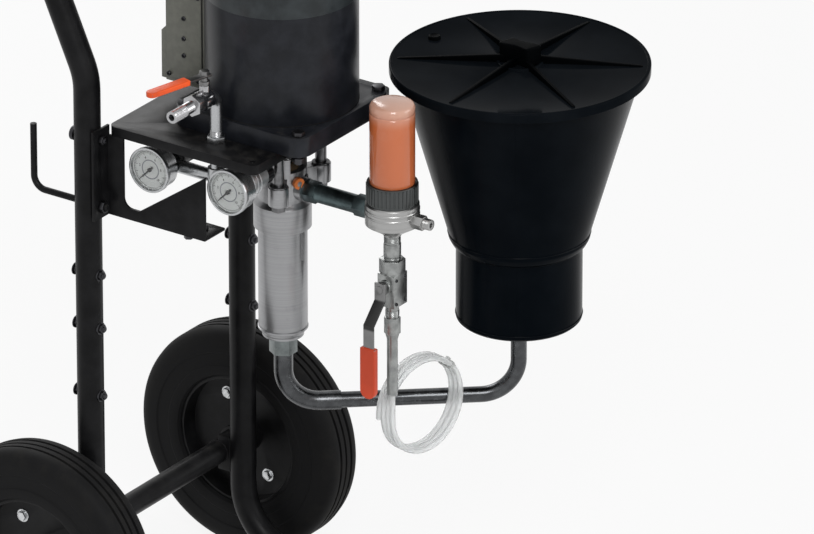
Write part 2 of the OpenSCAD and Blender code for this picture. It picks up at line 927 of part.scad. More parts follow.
module hopper_lid() {
    skirt = 14;
    top_t = 5.7;
    rib_t = 5;
    rib_h = 12;
    knob = [28, 59, 30];
    color("#16191c")
        at_hopper() {
            difference() {
                translate([0, 0, lid_top - skirt]) cylinder(r = lid_r, h = skirt);
                translate([0, 0, lid_top - skirt - over])
                    cylinder(r = lid_r - 4, h = skirt - top_t + over);
            }
            for (a = [0:60:300])
                rotate([0, 0, a])
                    translate([0, rib_t / 2, lid_top])
                        rotate([90, 0, 0])
                            linear_extrude(rib_t)
                                polygon([[0, 0], [lid_r - 12, 0], [lid_r - 12, 1], [26, rib_h], [0, rib_h]]);
            translate([0, 0, lid_top]) cylinder(r = 34, h = 3);
            translate([0, 0, lid_top])
                linear_extrude(knob[2] - 4) round_rect(knob[0], knob[1], 5);
            translate([0, 0, lid_top + knob[2] - 4])
                linear_extrude(4) round_rect(knob[0] - 4, knob[1] - 4, 4);
            translate([0, lid_r - 40, lid_top]) cylinder(r = 8.5, h = 5);
        }
}

// ---------- filter and outlet ----------

module filter_bowl() {
    inner = bowl_r - 4;
    color("#d77d50")
        at_filter()
            rotate_extrude()
                polygon([[inner, manifold_top], [bowl_r, manifold_top], [bowl_r, bowl_top - 17],
                         [bowl_r - 1, bowl_top - 16], [bowl_r - 1, bowl_top - 14],
                         [bowl_r, bowl_top - 13], [bowl_r, bowl_top - 6], [bowl_r - 2, bowl_top - 2],
                         [bowl_r - 6, bowl_top], [0, bowl_top], [0, bowl_top - 4], [inner, bowl_top - 8]]);
}

module ring_nut() {
    flute_r = 1.2;
    outer = bowl_r + 4;
    color("#5a5c5e")
        at_filter()
            difference() {
                ring(outer, bowl_r, manifold_top, 32);
                for (a = [0:20:340])
                    rotate([0, 0, a])
                        translate([outer + 0.3, 0, manifold_top + 4]) cylinder(r = flute_r, h = 22);
            }
}

module filter_element() {
    color("#b8babb")
        at_filter() {
            ring(20, 9, manifold_top, 6);
            ring(17, 12, manifold_top + 6, 124);
            ring(20, 9, manifold_top + 130, 6);
        }
}

module filter_manifold() {
    color("#a3a5a6")
        at_filter()
            difference() {
                rotate_extrude()
                    polygon([[0, 722], [13, 722], [16, 727], [manifold_r, 742],
                             [manifold_r, manifold_top - 2], [manifold_r - 2, manifold_top],
                             [0, manifold_top]]);
                translate([0, 0, arm_z]) y_rod(6, -manifold_r - over, manifold_r + over);
                translate([0, 0, 722 - over]) cylinder(r = 4, h = 40);
            }
}

// The paint outlet, with a hexagon and a plain threaded end
module outlet_nipple() {
    reach = 69;
    hex_end = 57;
    color("#77797b")
        at_filter()
            translate([0, 0, arm_z])
                difference() {
                    union() {
                        rotate([90, 0, 0]) hex_bar(20, hex_end);
                        y_rod(8, -reach, 0);
                    }
                    y_rod(3.5, -reach - over, 0);
                    translate([0, 0, -arm_z]) cylinder(r = manifold_r, h = 2 * arm_z);
                }
}

// The steel arm that carries paint from the pump head and holds the filter
module pressure_arm() {
    rear = -motor_y - 43;
    front = -filter_y;
    nut_len = 22;
    color("#3c464b")
        translate([0, 0, arm_z])
            difference() {
                union() {
                    y_rod(14, front, rear);
                    translate([0, rear, 0]) rotate([90, 0, 0]) hex_bar(29, nut_len);
                    translate([0, front + manifold_r + nut_len, 0])
                        rotate([90, 0, 0]) hex_bar(29, nut_len + 10);
                }
                y_rod(6, front - over, rear + over);
                translate([0, front, -arm_z]) cylinder(r = manifold_r, h = 2 * arm_z);
            }
}

module bleed_valve() {
    hex_z = bleed_z + 17;
    body_z = bleed_z - 34;
    color("#8b8e90")
        at_filter()
            difference() {
                union() {
                    translate([0, 0, hex_z + 22]) cylinder(r = 12, h = 722 - hex_z - 22);
                    translate([0, 0, hex_z + 27]) cylinder(r = 13, h = 20);
                    translate([0, 0, hex_z]) hex_bar(34, 22);
                    translate([-16.5, -15, body_z]) cube([33, 30, hex_z - body_z]);
                    translate([0, 0, body_z - 21]) cylinder(r = 10, h = 21);
                    translate([0, 0, bleed_z]) x_rod(10, -22, 0);
                }
                translate([0, 0, body_z - 21 - over]) cylinder(r = 4, h = 180);
                translate([0, 0, bleed_z]) x_rod(6 + fit, -24, -8);
            }
}

// The lever of the bleed valve with its stem, square nut and sleeve
module bleed_lever() {
    strip_w = 18;
    sleeve_w = 25;
    sleeve_low = 483;
    sleeve_top = 563;
    color("#c8462d")
        at_filter() {
            translate([0, 0, bleed_z]) x_rod(6, -34, -9);
            translate([-30, -7.5, bleed_z - 7.5]) cube([30 - 22 - gap, 15, 15]);
            translate([0, strip_w / 2, 0])
                rotate([90, 0, 0])
                    linear_extrude(strip_w)
                        polygon([[-33, 656], [-33, 628.6], [-61.5, 598.6], [-61.5, 490],
                                 [-58.5, 490], [-58.5, 597.4], [-30, 627.4], [-30, 656]]);
            translate([-64.5, 0, 0])
                rotate([90, 0, 90])
                    linear_extrude(9) {
                        translate([0, sleeve_low + sleeve_w / 2]) circle(sleeve_w / 2);
                        translate([-sleeve_w / 2, sleeve_low + sleeve_w / 2])
                            square([sleeve_w, sleeve_top - sleeve_low - sleeve_w / 2]);
                    }
        }
}

module drain_tube() {
    hex_top = bleed_z - 55;
    tube_end = 466;
    color("#8f9293")
        at_filter()
            difference() {
                union() {
                    translate([0, 0, hex_top - 26]) hex_bar(21.2, 26);
                    translate([0, 0, hex_top - 36]) cylinder(r1 = 8, r2 = 10.6, h = 10);
                    translate([0, 0, tube_end]) cylinder(r = 8, h = hex_top - 36 - tube_end);
                }
                translate([0, 0, tube_end - over]) cylinder(r = 4, h = 200);
            }
}

// ---------- return hose ----------

hose_exit = [0, -filter_y, 466];        // where the hose leaves the drain tube
coil_start = [0, -filter_y, 424];       // where its first loop begins
coil_dir = [0.978, -0.208, 0];          // from the first loop's start to its middle
coil_norm = [0.208, 0.978, 0];          // along which the loops follow each other
coil_steps = 24;
up = [0, 0, 1];

// Middle of the hose after turning through angle a, and the way out from the coil's axis
function coil_out(a) = -cos(a) * coil_dir - sin(a) * up;
function coil_point(a) = coil_start + coil_r * (coil_dir + coil_out(a)) + coil_pitch * a / 360 * coil_norm;

coil_angles = [for (i = [0:coil_loops * coil_steps]) 360 * i / coil_steps];
coil_route = concat(
    [coil_start + hose_d * up],
    [for (a = coil_angles) coil_point(a)],
    [coil_point(360 * coil_loops) - hose_d * up]
);
coil_outs = concat([coil_out(0)], [for (a = coil_angles) coil_out(a)], [coil_out(0)]);
coil_gap = min([
    for (i = [0:len(coil_route) - 1])
        for (j = [i + coil_steps / 2:1:len(coil_route) - 1])
            norm(coil_route[i] - coil_route[j]) - hose_d
]);
drop_route = [hose_exit, [0, -filter_y, 449], coil_start + hose_d * up];

// A tube round a route, closed at both ends. outs holds one direction across
// the hose for each point of the route; the other direction is the coil's normal.
module hose_tube(route, outs, sides) {
    last = len(route) - 1;
    turn = 360 / sides;
    polyhedron(
        points = [
            for (i = [0:last])
                for (k = [0:sides - 1])
                    route[i] + hose_d / 2 * (cos(k * turn) * outs[i] + sin(k * turn) * coil_norm)
        ],
        faces = concat(
            [for (i = [0:last - 1]) for (k = [0:sides - 1])
                [i * sides + k, (i + 1) * sides + k, (i + 1) * sides + (k + 1) % sides]],
            [for (i = [0:last - 1]) for (k = [0:sides - 1])
                [i * sides + k, (i + 1) * sides + (k + 1) % sides, i * sides + (k + 1) % sides]],
            [for (k = [1:sides - 2]) [0, k, k + 1]],
            [for (k = [1:sides - 2]) [last * sides, last * sides + k + 1, last * sides + k]]
        )
    );
}

module return_hose_drop() {
    color([0.85, 0.87, 0.88, 0.6]) hose_tube(drop_route, [for (p = drop_route) coil_out(0)], 8);
}

module return_hose_coil() {
    echo(least_gap_of_the_coil_to_itself = coil_gap);
    color([0.85, 0.87, 0.88, 0.6]) hose_tube(coil_route, coil_outs, 6);
}

// ---------- air set ----------

module at_gauges() {
    for (y = [gauge_1_y, gauge_2_y]) translate([0, -y, gauge_z]) children();
}

module gauge_cases() {
    bezel = 3.5;
    recess = 6;
    color("#c9ccce")
        at_gauges()
            difference() {
                union() {
                    x_rod(gauge_r, gauge_face, gauge_face + 8);
                    x_rod(gauge_r - 2, gauge_face + 8, gauge_face + gauge_depth);
                }
                x_rod(gauge_r - bezel, gauge_face - over, gauge_face + recess);
                x_rod(1 + fit, gauge_face + recess - over, gauge_face + recess + 8);
            }
}

// A gauge's pointer on its spindle, at zero, which lies low on the left
module needle(y) {
    blade_x = gauge_face + 2.5;
    color("#1a1a1a")
        translate([0, -y, gauge_z])
            rotate([45, 0, 0]) {
                x_rod(1, blade_x, gauge_face + 13);
                x_rod(3, blade_x - 0.5, blade_x + 2);
                translate([blade_x, 0, 0])
                    rotate([90, 0, 90])
                        linear_extrude(0.8)
                            polygon([[-1.6, 8], [1.6, 8], [0.5, -25], [-0.5, -25]]);
            }
}

// A regulator's body, with the dome of its spring chamber towards the knob
module regulator(y) {
    from = gauge_face + gauge_depth;
    translate([0, -y, gauge_z])
        difference() {
            union() {
                x_rod(20, from, from + 6);
                x_rod(23, from + 6, from + 34);
                x_rod(20, from + 34, from + 51);
            }
            x_rod(5 + fit, from + 37, from + 52);
        }
}

module regulator_black() {
    color("#161719") regulator(gauge_1_y);
}

module regulator_silver() {
    color("#a9acae") regulator(gauge_2_y);
}

// A regulator's fluted knob on its spindle
module knob(y) {
    knob_r = 18;
    from = gauge_face + gauge_depth + 51 + gap;
    color("#161719")
        translate([0, -y, gauge_z]) {
            x_rod(5, from - 10, from + 2);
            difference() {
                x_rod(knob_r, from, from + 17);
                for (a = [0:30:330])
                    rotate([a, 0, 0]) translate([0, 0, knob_r + 1]) x_rod(2.2, from - over, from + 18);
            }
        }
}

// The bar between the regulators and the riser up through the shelf
module air_bar() {
    riser_r = 9;
    bend = 20;
    bore_r = 5;
    color("#a3a6a8")
        difference() {
            union() {
                translate([bar_x, 0, gauge_z]) y_rod(10, -gauge_2_y, -gauge_1_y);
                translate([bar_x, -riser_y, 0]) {
                    translate([0, 0, gauge_z]) cylinder(r = riser_r, h = air_z - bend - gauge_z);
                    translate([0, 0, shelf_z]) rotate([0, 0, 30]) hex_bar(25, 9);
                    translate([0, 0, air_z - bend]) rotate([0, 0, 90]) elbow(bend, riser_r, 90);
                    translate([0, 0, gauge_z - 16]) cylinder(r = 13, h = 32);
                }
            }
            for (y = [gauge_1_y, gauge_2_y])
                translate([0, -y, gauge_z]) x_rod(23, gauge_face, -80);
            translate([bar_x, -riser_y, gauge_z]) cylinder(r = bore_r, h = air_z - bend - gauge_z);
            translate([bar_x, -riser_y, air_z - bend]) rotate([0, 0, 90]) elbow(bend, bore_r, 90);
        }
}

module at_air_valve() {
    translate([air_x, -riser_y, air_z]) children();
}

// The ball valve's body and the nipple for the compressed-air hose
module air_valve_body() {
    right = bar_x - 20 - air_x;
    color("#8f9294")
        at_air_valve()
            difference() {
                union() {
                    x_rod(15, -12, right - 6);
                    translate([right - 7, 0, 0]) rotate([0, 90, 0]) hex_bar(27, 7);
                    translate([-32, 0, 0]) rotate([0, 90, 0]) hex_bar(29, 20);
                    x_rod(9, -82, -32);
                    cylinder(r = 7.5, h = 22);
                }
                x_rod(5, -83, right + over);
                translate([0, 0, 8]) cylinder(r = 5 + fit, h = 20);
            }
}

// The air lever on its stem, with the nut on top and the sleeve on its end
module air_lever() {
    strip_z = 36;
    sleeve_from = 33;
    sleeve_to = 108;
    color("#e65028")
        at_air_valve() {
            translate([0, 0, 9]) cylinder(r = 5, h = 34);
            translate([0, 0, strip_z + 3]) hex_bar(13, 6);
            translate([0, 0, 22 + gap]) cylinder(r = 8, h = 7);
            rotate([0, 0, lever_angle]) {
                translate([-9, -7, strip_z]) cube([sleeve_to - 3 + 9, 14, 3]);
                translate([sleeve_from, -8, strip_z - 2]) cube([sleeve_to - sleeve_from - 8, 16, 7]);
                translate([sleeve_to - 8, 0, strip_z - 2]) cylinder(r = 8, h = 7);
            }
        }
}

// ---------- the assembly ----------

place() side_tube(-1);  // side_tube_left
place() side_tube(1);  // side_tube_right
place() handle_bow();
place() handle_grips();
place() foot_bar();
place() rubber_feet();
place() axle_tube();
place() axle_shaft();
place() hose_hooks();
place() { frame_bolts(); motor_bolts(); }  // bolts
place() shelf();
place() side_plates();
place() motor_base();
place() motor_cylinder();
place() motor_cap();
place() rod_bushing();
place() air_valve_block();
place() tie_rods();
place() pump_head();
place() throat_packing();
place() pump_cylinder();
place() inlet_housing();
place() union_nut();
place() hopper_pipe();
place() hopper_bowl();
place() hopper_cone();
place() strainer();
place() filter_bowl();
place() ring_nut();
place() filter_element();
place() filter_manifold();
place() outlet_nipple();
place() pressure_arm();
place() bleed_valve();
place() drain_tube();
place() return_hose_drop();
place() return_hose_coil();
place() gauge_cases();
place() regulator_black();
place() regulator_silver();
place() air_bar();
place() air_valve_body();
place() tyre(-1);  // tyre_left
place() rim(-1);  // rim_left
place() tyre(1);  // tyre_right
place() rim(1);  // rim_right
place() air_piston();
place() piston_rod();
place() rod_coupling();
place() pump_rod();
place() piston_ball();
place() inlet_ball();
place() air_lever();
place() bleed_lever();
place() knob(gauge_1_y);  // knob_black
place() knob(gauge_2_y);  // knob_silver
place() needle(gauge_1_y);  // needle_1
place() needle(gauge_2_y);  // needle_2
place() hopper_lid();
place() valve_spool();
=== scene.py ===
"""Dress of an airless paint sprayer: finishes for its CAD nodes, and the pieces that CAD leaves out."""
import json
import math
import bpy
from mathutils import Matrix, Vector

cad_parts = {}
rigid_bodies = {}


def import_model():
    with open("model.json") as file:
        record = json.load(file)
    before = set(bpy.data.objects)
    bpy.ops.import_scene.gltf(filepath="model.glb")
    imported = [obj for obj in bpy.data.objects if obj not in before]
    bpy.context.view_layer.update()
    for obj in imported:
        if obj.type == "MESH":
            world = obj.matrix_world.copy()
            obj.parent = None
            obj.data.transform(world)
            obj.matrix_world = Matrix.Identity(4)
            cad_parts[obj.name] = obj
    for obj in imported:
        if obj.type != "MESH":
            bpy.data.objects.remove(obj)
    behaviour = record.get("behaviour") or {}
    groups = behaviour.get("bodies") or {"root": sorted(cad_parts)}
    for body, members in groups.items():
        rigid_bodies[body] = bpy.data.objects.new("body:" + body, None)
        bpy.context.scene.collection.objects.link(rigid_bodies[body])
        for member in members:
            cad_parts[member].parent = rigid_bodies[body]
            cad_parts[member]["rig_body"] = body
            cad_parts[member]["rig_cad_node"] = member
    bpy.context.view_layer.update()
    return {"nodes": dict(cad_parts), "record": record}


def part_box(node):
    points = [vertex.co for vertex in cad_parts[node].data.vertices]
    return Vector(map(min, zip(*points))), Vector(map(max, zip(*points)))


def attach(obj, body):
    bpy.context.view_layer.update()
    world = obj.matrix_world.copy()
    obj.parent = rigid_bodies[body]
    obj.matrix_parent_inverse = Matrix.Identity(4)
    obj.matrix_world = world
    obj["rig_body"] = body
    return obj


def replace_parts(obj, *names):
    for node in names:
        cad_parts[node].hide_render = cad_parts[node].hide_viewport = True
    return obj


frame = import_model()

# ---------- places ----------

MM = 0.001
AXLE = (37.5, 180)


def middle(node):
    """The middle of a node's box."""
    low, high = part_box(node)
    return (low + high) / 2


CART = Vector(((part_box("side_tube_left")[0].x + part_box("side_tube_right")[1].x) / 2,
               middle("tyre_left").y - AXLE[0] * MM, 0))


def at(x, y, z):
    """A point given in millimetres from the middle between the side tubes, at ground level."""
    return CART + Vector((x, y, z)) * MM


# In millimetres, as at() takes them; a pair is a place's y and z, as for the axle above.
FOOT_BAR = (-370, 35)
BOW_FOOT = (69.66, 1097.7)
TUBE_X = 192
TUBE_RADIUS = 20
TUBE_LEAN = math.radians(24)
TUBE_BOLT_HEIGHTS = (628, 542, 433)
FOOT_BAR_RADIUS = 16
TIE_ROD_ANGLES = (-30, 90, 210)
TIE_ROD_CIRCLE = 62
FILTER_Y = -408

PUMP = middle("pump_cylinder").xy
FILTER = middle("filter_bowl").xy
HOPPER = middle("hopper_bowl").xy
WHEELS = {side: middle("tyre_" + side) for side in ("left", "right")}
GAUGES = {1: at(-169, -92.5, 806), 2: at(-169, -232.5, 806)}
X_AXIS = Vector((1, 0, 0))
Y_AXIS = Vector((0, 1, 0))
Z_AXIS = Vector((0, 0, 1))


def above(column, z):
    """A point on an upright axis, at a height in millimetres."""
    return Vector((column.x, column.y, z * MM))


def heading(angle):
    """The level direction at an angle from +X, in degrees."""
    return Matrix.Rotation(math.radians(angle), 3, "Z") @ X_AXIS


# ---------- camera, floor and light ----------

VIEW_MIDDLE = Vector((-4.9, -173.1, 650)) * MM
VIEW_AZIMUTH = math.radians(-55.2)
VIEW_ELEVATION = math.radians(24.65)
VIEW_WIDTH = 1.191
LENS = 500
SENSOR = 36


def place_camera():
    back = Vector((math.sin(VIEW_AZIMUTH) * math.cos(VIEW_ELEVATION),
                   -math.cos(VIEW_AZIMUTH) * math.cos(VIEW_ELEVATION),
                   math.sin(VIEW_ELEVATION)))
    data = bpy.data.cameras.new("camera")
    data.lens = LENS
    data.sensor_width = SENSOR
    data.clip_end = 100
    camera = bpy.data.objects.new("camera", data)
    camera.location = VIEW_MIDDLE + back * VIEW_WIDTH * LENS / SENSOR
    camera.rotation_euler = (-back).to_track_quat("-Z", "Y").to_euler()
    bpy.context.scene.collection.objects.link(camera)
    bpy.context.scene.camera = camera


place_camera()

# ---------- material expressions ----------


def bare_tree(owner):
    """Turns on the nodes of a material or the world, and empties them."""
    owner.use_nodes = True
    owner.node_tree.nodes.clear()
    return owner.node_tree


class Wire:
    """The output of a shader node, which can be used in sums like a number."""

    def __init__(self, finish, socket):
        self.finish = finish
        self.socket = socket

    def maths(self, operation, first, second=0.0):
        return self.finish.maths(operation, first, second)

    def __add__(self, other):
        return self.maths("ADD", self, other)

    def __radd__(self, other):
        return self.maths("ADD", other, self)

    def __sub__(self, other):
        return self.maths("SUBTRACT", self, other)

    def __rsub__(self, other):
        return self.maths("SUBTRACT", other, self)

    def __mul__(self, other):
        return self.maths("MULTIPLY", self, other)

    def __rmul__(self, other):
        return self.maths("MULTIPLY", other, self)

    def __pow__(self, other):
        return self.maths("POWER", self, other)

    def most(self, other):
        return self.maths("MAXIMUM", self, other)


class Finish:
    """A material with one Principled shader, whose other nodes are written as expressions."""

    def __init__(self, name):
        self.material = bpy.data.materials.new(name)
        self.tree = bare_tree(self.material)
        self.shader = self.tree.nodes.new("ShaderNodeBsdfPrincipled")
        output = self.tree.nodes.new("ShaderNodeOutputMaterial")
        self.tree.links.new(self.shader.outputs[0], output.inputs["Surface"])
        self.place = self.node("ShaderNodeTexCoord", output="Object")

    def join(self, value, socket):
        """Links a wire to a socket, or sets a plain value on it."""
        if isinstance(value, Wire):
            self.tree.links.new(value.socket, socket)
        elif hasattr(value, "__len__") and len(value) == 3 and socket.type == "RGBA":
            socket.default_value = (*value, 1)
        else:
            socket.default_value = value

    def node(self, kind, settings=None, inputs=None, output=0):
        """Adds a node: its settings first, then the values or links of its sockets."""
        made = self.tree.nodes.new(kind)
        for key, value in (settings or {}).items():
            setattr(made, key, value)
        for key, value in (inputs or {}).items():
            self.join(value, made.inputs[key])
        return Wire(self, made.outputs[output])

    def set(self, **values):
        """Sets the shader's sockets, with _ for a space in their names."""
        for key, value in values.items():
            self.join(value, self.shader.inputs[key.replace("_", " ")])
        return self

    def noise(self, scale, detail, roughness, vector=None):
        """Soft noise round 0.5, with its scale per metre."""
        return self.node("ShaderNodeTexNoise", {}, {
            "Vector": vector or self.place, "Scale": scale, "Detail": detail, "Roughness": roughness})

    def grains(self, scale):
        """The distance to the nearest of a scatter of points."""
        return self.node("ShaderNodeTexVoronoi", {}, {"Vector": self.place, "Scale": scale})

    def fade(self, value, low, high, first=0.0, last=1.0):
        """Goes smoothly from first to last as the value goes from low to high."""
        return self.node("ShaderNodeMapRange", {"interpolation_type": "SMOOTHSTEP"}, {
            "Value": value, "From Min": low, "From Max": high, "To Min": first, "To Max": last})

    def mix(self, factor, first, second):
        """A colour between two colours."""
        return self.node("ShaderNodeMix", {"data_type": "RGBA"}, {0: factor, 6: first, 7: second}, output=2)

    def bump(self, height, distance, strength):
        """A Bump node, whose height of 1 stands for distance in metres."""
        return self.node("ShaderNodeBump", {}, {"Height": height, "Distance": distance, "Strength": strength})

    def away(self, point):
        """The way from a point to the surface, as x, y and z."""
        moved = self.node("ShaderNodeVectorMath", {"operation": "SUBTRACT"}, {0: self.place, 1: point})
        return [self.node("ShaderNodeSeparateXYZ", {}, {0: moved}, output=i) for i in range(3)]

    def about(self, point, axis):
        """The distance from an axis along X, Y or Z through a point, and the place along it."""
        ways = self.away(point)
        along = ways.pop("XYZ".index(axis))
        return (ways[0] * ways[0] + ways[1] * ways[1]) ** 0.5, along

    def maths(self, operation, first, second=0.0):
        return self.node("ShaderNodeMath", {"operation": operation}, {0: first, 1: second})

    def wave(self, value, length):
        """Rises and falls between 0 and 1 once in each length of the value."""
        return self.maths("SINE", value * (math.tau / length)) * 0.5 + 0.5

    def together(self, x, y, z):
        return self.node("ShaderNodeCombineXYZ", {}, {0: x, 1: y, 2: z})

    def upward(self):
        """How far the surface faces up."""
        normal = self.node("ShaderNodeNewGeometry", output="Normal")
        return self.node("ShaderNodeSeparateXYZ", {}, {0: normal}, output=2).most(0.0)


# ---------- finishes ----------

MESH_PITCH = 1.2 * MM


def powder_coat(name, colour, rough, gloss):
    """Baked powder paint: orange peel, faint mottling and a trace of dust on what faces up."""
    paint = Finish(name)
    peel = paint.noise(520, 3, 0.55)
    mottle = paint.noise(24, 4, 0.6)
    dust = paint.upward() ** 3 * paint.fade(paint.noise(45, 5, 0.7), 0.42, 0.72) * 0.05
    lighter = [c * 1.9 + 0.004 for c in colour]
    base = paint.mix(paint.fade(mottle, 0.3, 0.75), colour, lighter)
    return paint.set(
        Base_Color=paint.mix(dust, base, (0.32, 0.3, 0.27)),
        Roughness=rough + (mottle - 0.5) * 0.16 + dust * 1.5,
        Specular_IOR_Level=gloss,
        Normal=paint.bump(peel, 0.00022, 0.5))


def turned_steel(name, colour, centre, axis, rough):
    """Steel from the lathe: fine rings round its axis, stains and a few dull patches."""
    steel = Finish(name)
    radius, along = steel.about(centre, axis)
    rings = steel.noise(1.0, 3, 0.7, vector=steel.together(radius * 3200, along * 3200, 0.0))
    coarse = steel.noise(1.0, 2, 0.5, vector=steel.together(radius * 760, along * 760, 3.7))
    stain = steel.noise(38, 4, 0.62)
    darker = [c * 0.9 for c in colour]
    lighter = [min(1.0, c * 1.06) for c in colour]
    base = steel.mix(steel.fade(coarse, 0.25, 0.8), darker, lighter)
    return steel.set(
        Base_Color=steel.mix(steel.fade(stain, 0.56, 0.78) * 0.25, base, [c * 0.45 for c in colour]),
        Metallic=1.0,
        Roughness=rough + (rings - 0.5) * 0.2 + (stain - 0.5) * 0.12,
        Normal=steel.bump(rings, 0.00004, 0.4))


def plated(name, colour, rough, grain=700):
    """Rolled or forged steel under a thin plating, with a cloudy bloom."""
    steel = Finish(name)
    bloom = steel.noise(60, 5, 0.65)
    fine = steel.noise(grain, 2, 0.6)
    return steel.set(
        Base_Color=steel.mix(steel.fade(bloom, 0.3, 0.75), [c * 0.7 for c in colour],
                             [min(1.0, c * 1.2) for c in colour]),
        Metallic=1.0,
        Roughness=rough + (bloom - 0.5) * 0.22 + (fine - 0.5) * 0.1,
        Normal=steel.bump(fine, 0.00009, 0.4))


def painted_shade_steel(name, colour, low, high):
    """Plated steel with painted shade: a band between two heights is painted darker."""
    steel = Finish(name)
    height = steel.away((0, 0, 0))[2]
    bloom = steel.noise(60, 5, 0.65)
    # painted shade: the steel between the heights low and high is painted darker
    painted_shade_band = steel.fade(height, low, low + 0.004) * steel.fade(height, high - 0.004, high, 1.0, 0.0)
    plain = steel.mix(bloom, [c * 0.75 for c in colour], [c * 1.2 for c in colour])
    return steel.set(
        Base_Color=steel.mix(painted_shade_band * 0.85, plain, [c * 0.1 for c in colour]),
        Metallic=1.0,
        Roughness=0.34 + (bloom - 0.5) * 0.2 + painted_shade_band * 0.08,
        Normal=steel.bump(bloom, 0.00006, 0.4))


def cast_metal(name, colour, metal, rough):
    """Sand-cast or die-cast metal, with a pebbled skin and darker hollows."""
    cast = Finish(name)
    pebbles = cast.grains(420)
    lumps = cast.noise(95, 3, 0.55)
    base = cast.mix(cast.fade(lumps, 0.32, 0.7), [c * 0.88 for c in colour],
                    [min(1.0, c * 1.08) for c in colour])
    return cast.set(
        Base_Color=base,
        Metallic=metal,
        Roughness=rough + (lumps - 0.5) * 0.2,
        Normal=cast.bump(pebbles * 0.6 + lumps * 0.5, 0.0003, 0.4))


def moulded(name, colour, rough, gloss, grain=900, lift=0.00012):
    """Moulded plastic with a fine spark-eroded grain and soft flow marks."""
    plastic = Finish(name)
    fine = plastic.noise(grain, 3, 0.6)
    flow = plastic.noise(11, 3, 0.5)
    scuff = plastic.fade(plastic.noise(180, 5, 0.75), 0.6, 0.82)
    return plastic.set(
        Base_Color=plastic.mix(plastic.fade(flow, 0.3, 0.75) * 0.6 + scuff * 0.25, colour,
                               [c * 1.7 + 0.003 for c in colour]),
        Roughness=rough + (flow - 0.5) * 0.12 + scuff * 0.12,
        Specular_IOR_Level=gloss,
        Normal=plastic.bump(fine, lift, 0.5))


def rubber(name, colour):
    """Black rubber: matt, speckled, greyer where it has been rubbed."""
    skin = Finish(name)
    fine = skin.noise(650, 4, 0.7)
    rubbed = skin.fade(skin.noise(32, 5, 0.7), 0.48, 0.74)
    return skin.set(
        Base_Color=skin.mix(rubbed * 0.5, colour, [c * 2.4 + 0.006 for c in colour]),
        Roughness=0.72 + (fine - 0.5) * 0.12 - rubbed * 0.08,
        Specular_IOR_Level=0.25,
        Normal=skin.bump(fine, 0.0002, 0.6))


def polished_rod(name, colour, centre):
    """Ground and chromed rod, with faint draw marks along it."""
    rod = Finish(name)
    x, y, z = rod.away(centre)
    draws = rod.noise(1.0, 2, 0.6, vector=rod.together(x * 1800, y * 1800, z * 24))
    return rod.set(
        Base_Color=rod.mix(rod.fade(draws, 0.3, 0.8), [c * 0.85 for c in colour], colour),
        Metallic=1.0,
        Roughness=0.1 + draws * 0.12,
        Normal=rod.bump(draws, 0.00003, 0.3))


def woven_mesh(name, colour, centre):
    """Fine square wire mesh round an upright axis."""
    mesh = Finish(name)
    x, y, z = mesh.away(centre)
    turn = mesh.maths("ARCTAN2", y, x) * 15 * MM
    wires = mesh.wave(turn, MESH_PITCH).most(mesh.wave(z, MESH_PITCH))
    return mesh.set(
        Base_Color=mesh.mix(wires, [c * 0.2 for c in colour], colour),
        Metallic=1.0,
        Roughness=0.55 - wires * 0.2,
        Normal=mesh.bump(wires, 0.0003, 0.8))


def leather(name, colour):
    """Oiled packing leather."""
    hide = Finish(name)
    pores = hide.grains(900)
    oil = hide.noise(70, 4, 0.6)
    return hide.set(
        Base_Color=hide.mix(oil, [c * 0.5 for c in colour], colour),
        Roughness=0.5 + pores * 0.2,
        Normal=hide.bump(pores, 0.0002, 0.5))


def glossy_shell(name, colour, pale, low, high):
    """Smooth glossy plastic with a painted highlight that turns it paler towards its top, and fine swirl
    marks.
    """
    shell = Finish(name)
    height = shell.away((0, 0, 0))[2]
    swirl = shell.noise(26, 4, 0.55)
    fine = shell.noise(380, 2, 0.5)
    # painted highlight: the colour pales towards the top, from the height low to the height high
    base = shell.mix(shell.fade(height, low, high) * 0.75 + (swirl - 0.5) * 0.3, colour, pale)
    return shell.set(
        Base_Color=base,
        Roughness=0.2 + (swirl - 0.5) * 0.14,
        Coat_Weight=0.35,
        Coat_Roughness=0.08,
        Normal=shell.bump(fine, 0.00004, 0.35))


def clear_hose(name):
    """Milky clear hose: light passes through it, and its wall shows a little grey."""
    hose = Finish(name)
    cloud = hose.noise(60, 3, 0.6)
    return hose.set(
        Base_Color=hose.mix(cloud, (0.95, 0.96, 0.96), (0.99, 1.0, 1.0)),
        Roughness=0.16 + cloud * 0.14,
        Transmission_Weight=0.72,
        IOR=1.24,
        Normal=hose.bump(cloud, 0.0002, 0.25))


def gauge_glass(name):
    """Clear glass with a hint of wiping marks."""
    glass = Finish(name)
    smear = glass.noise(90, 3, 0.6)
    return glass.set(
        Base_Color=(0.98, 0.99, 0.99),
        Roughness=0.01 + glass.fade(smear, 0.5, 0.8) * 0.05,
        Transmission_Weight=1.0,
        IOR=1.3)


def printed(name, colour, rough):
    """Baked enamel or ink, very slightly uneven."""
    ink = Finish(name)
    uneven = ink.noise(220, 3, 0.6)
    return ink.set(
        Base_Color=ink.mix(uneven, [c * 0.9 for c in colour], colour),
        Roughness=rough + (uneven - 0.5) * 0.1,
        Normal=ink.bump(uneven, 0.00004, 0.3))


def tyre_rubber(name, centre):
    """Tyre rubber: darker tread, greyer rubbed shoulders and fine rings on the walls."""
    tyre = Finish(name)
    radius = tyre.about(centre, "X")[0]
    fine = tyre.noise(520, 4, 0.7)
    rings = tyre.noise(1.0, 2, 0.5, vector=tyre.together(radius * 700, 0.0, 0.0))
    dust = tyre.fade(tyre.noise(26, 5, 0.7), 0.4, 0.75) * tyre.fade(radius, 0.14, 0.178)
    return tyre.set(
        Base_Color=tyre.mix(dust * 0.35, (0.0075, 0.0075, 0.008), (0.035, 0.033, 0.03)),
        Roughness=0.66 + (fine - 0.5) * 0.14 + dust * 0.12,
        Specular_IOR_Level=0.14,
        Normal=tyre.bump(fine * 0.5 + rings, 0.00025, 0.5))


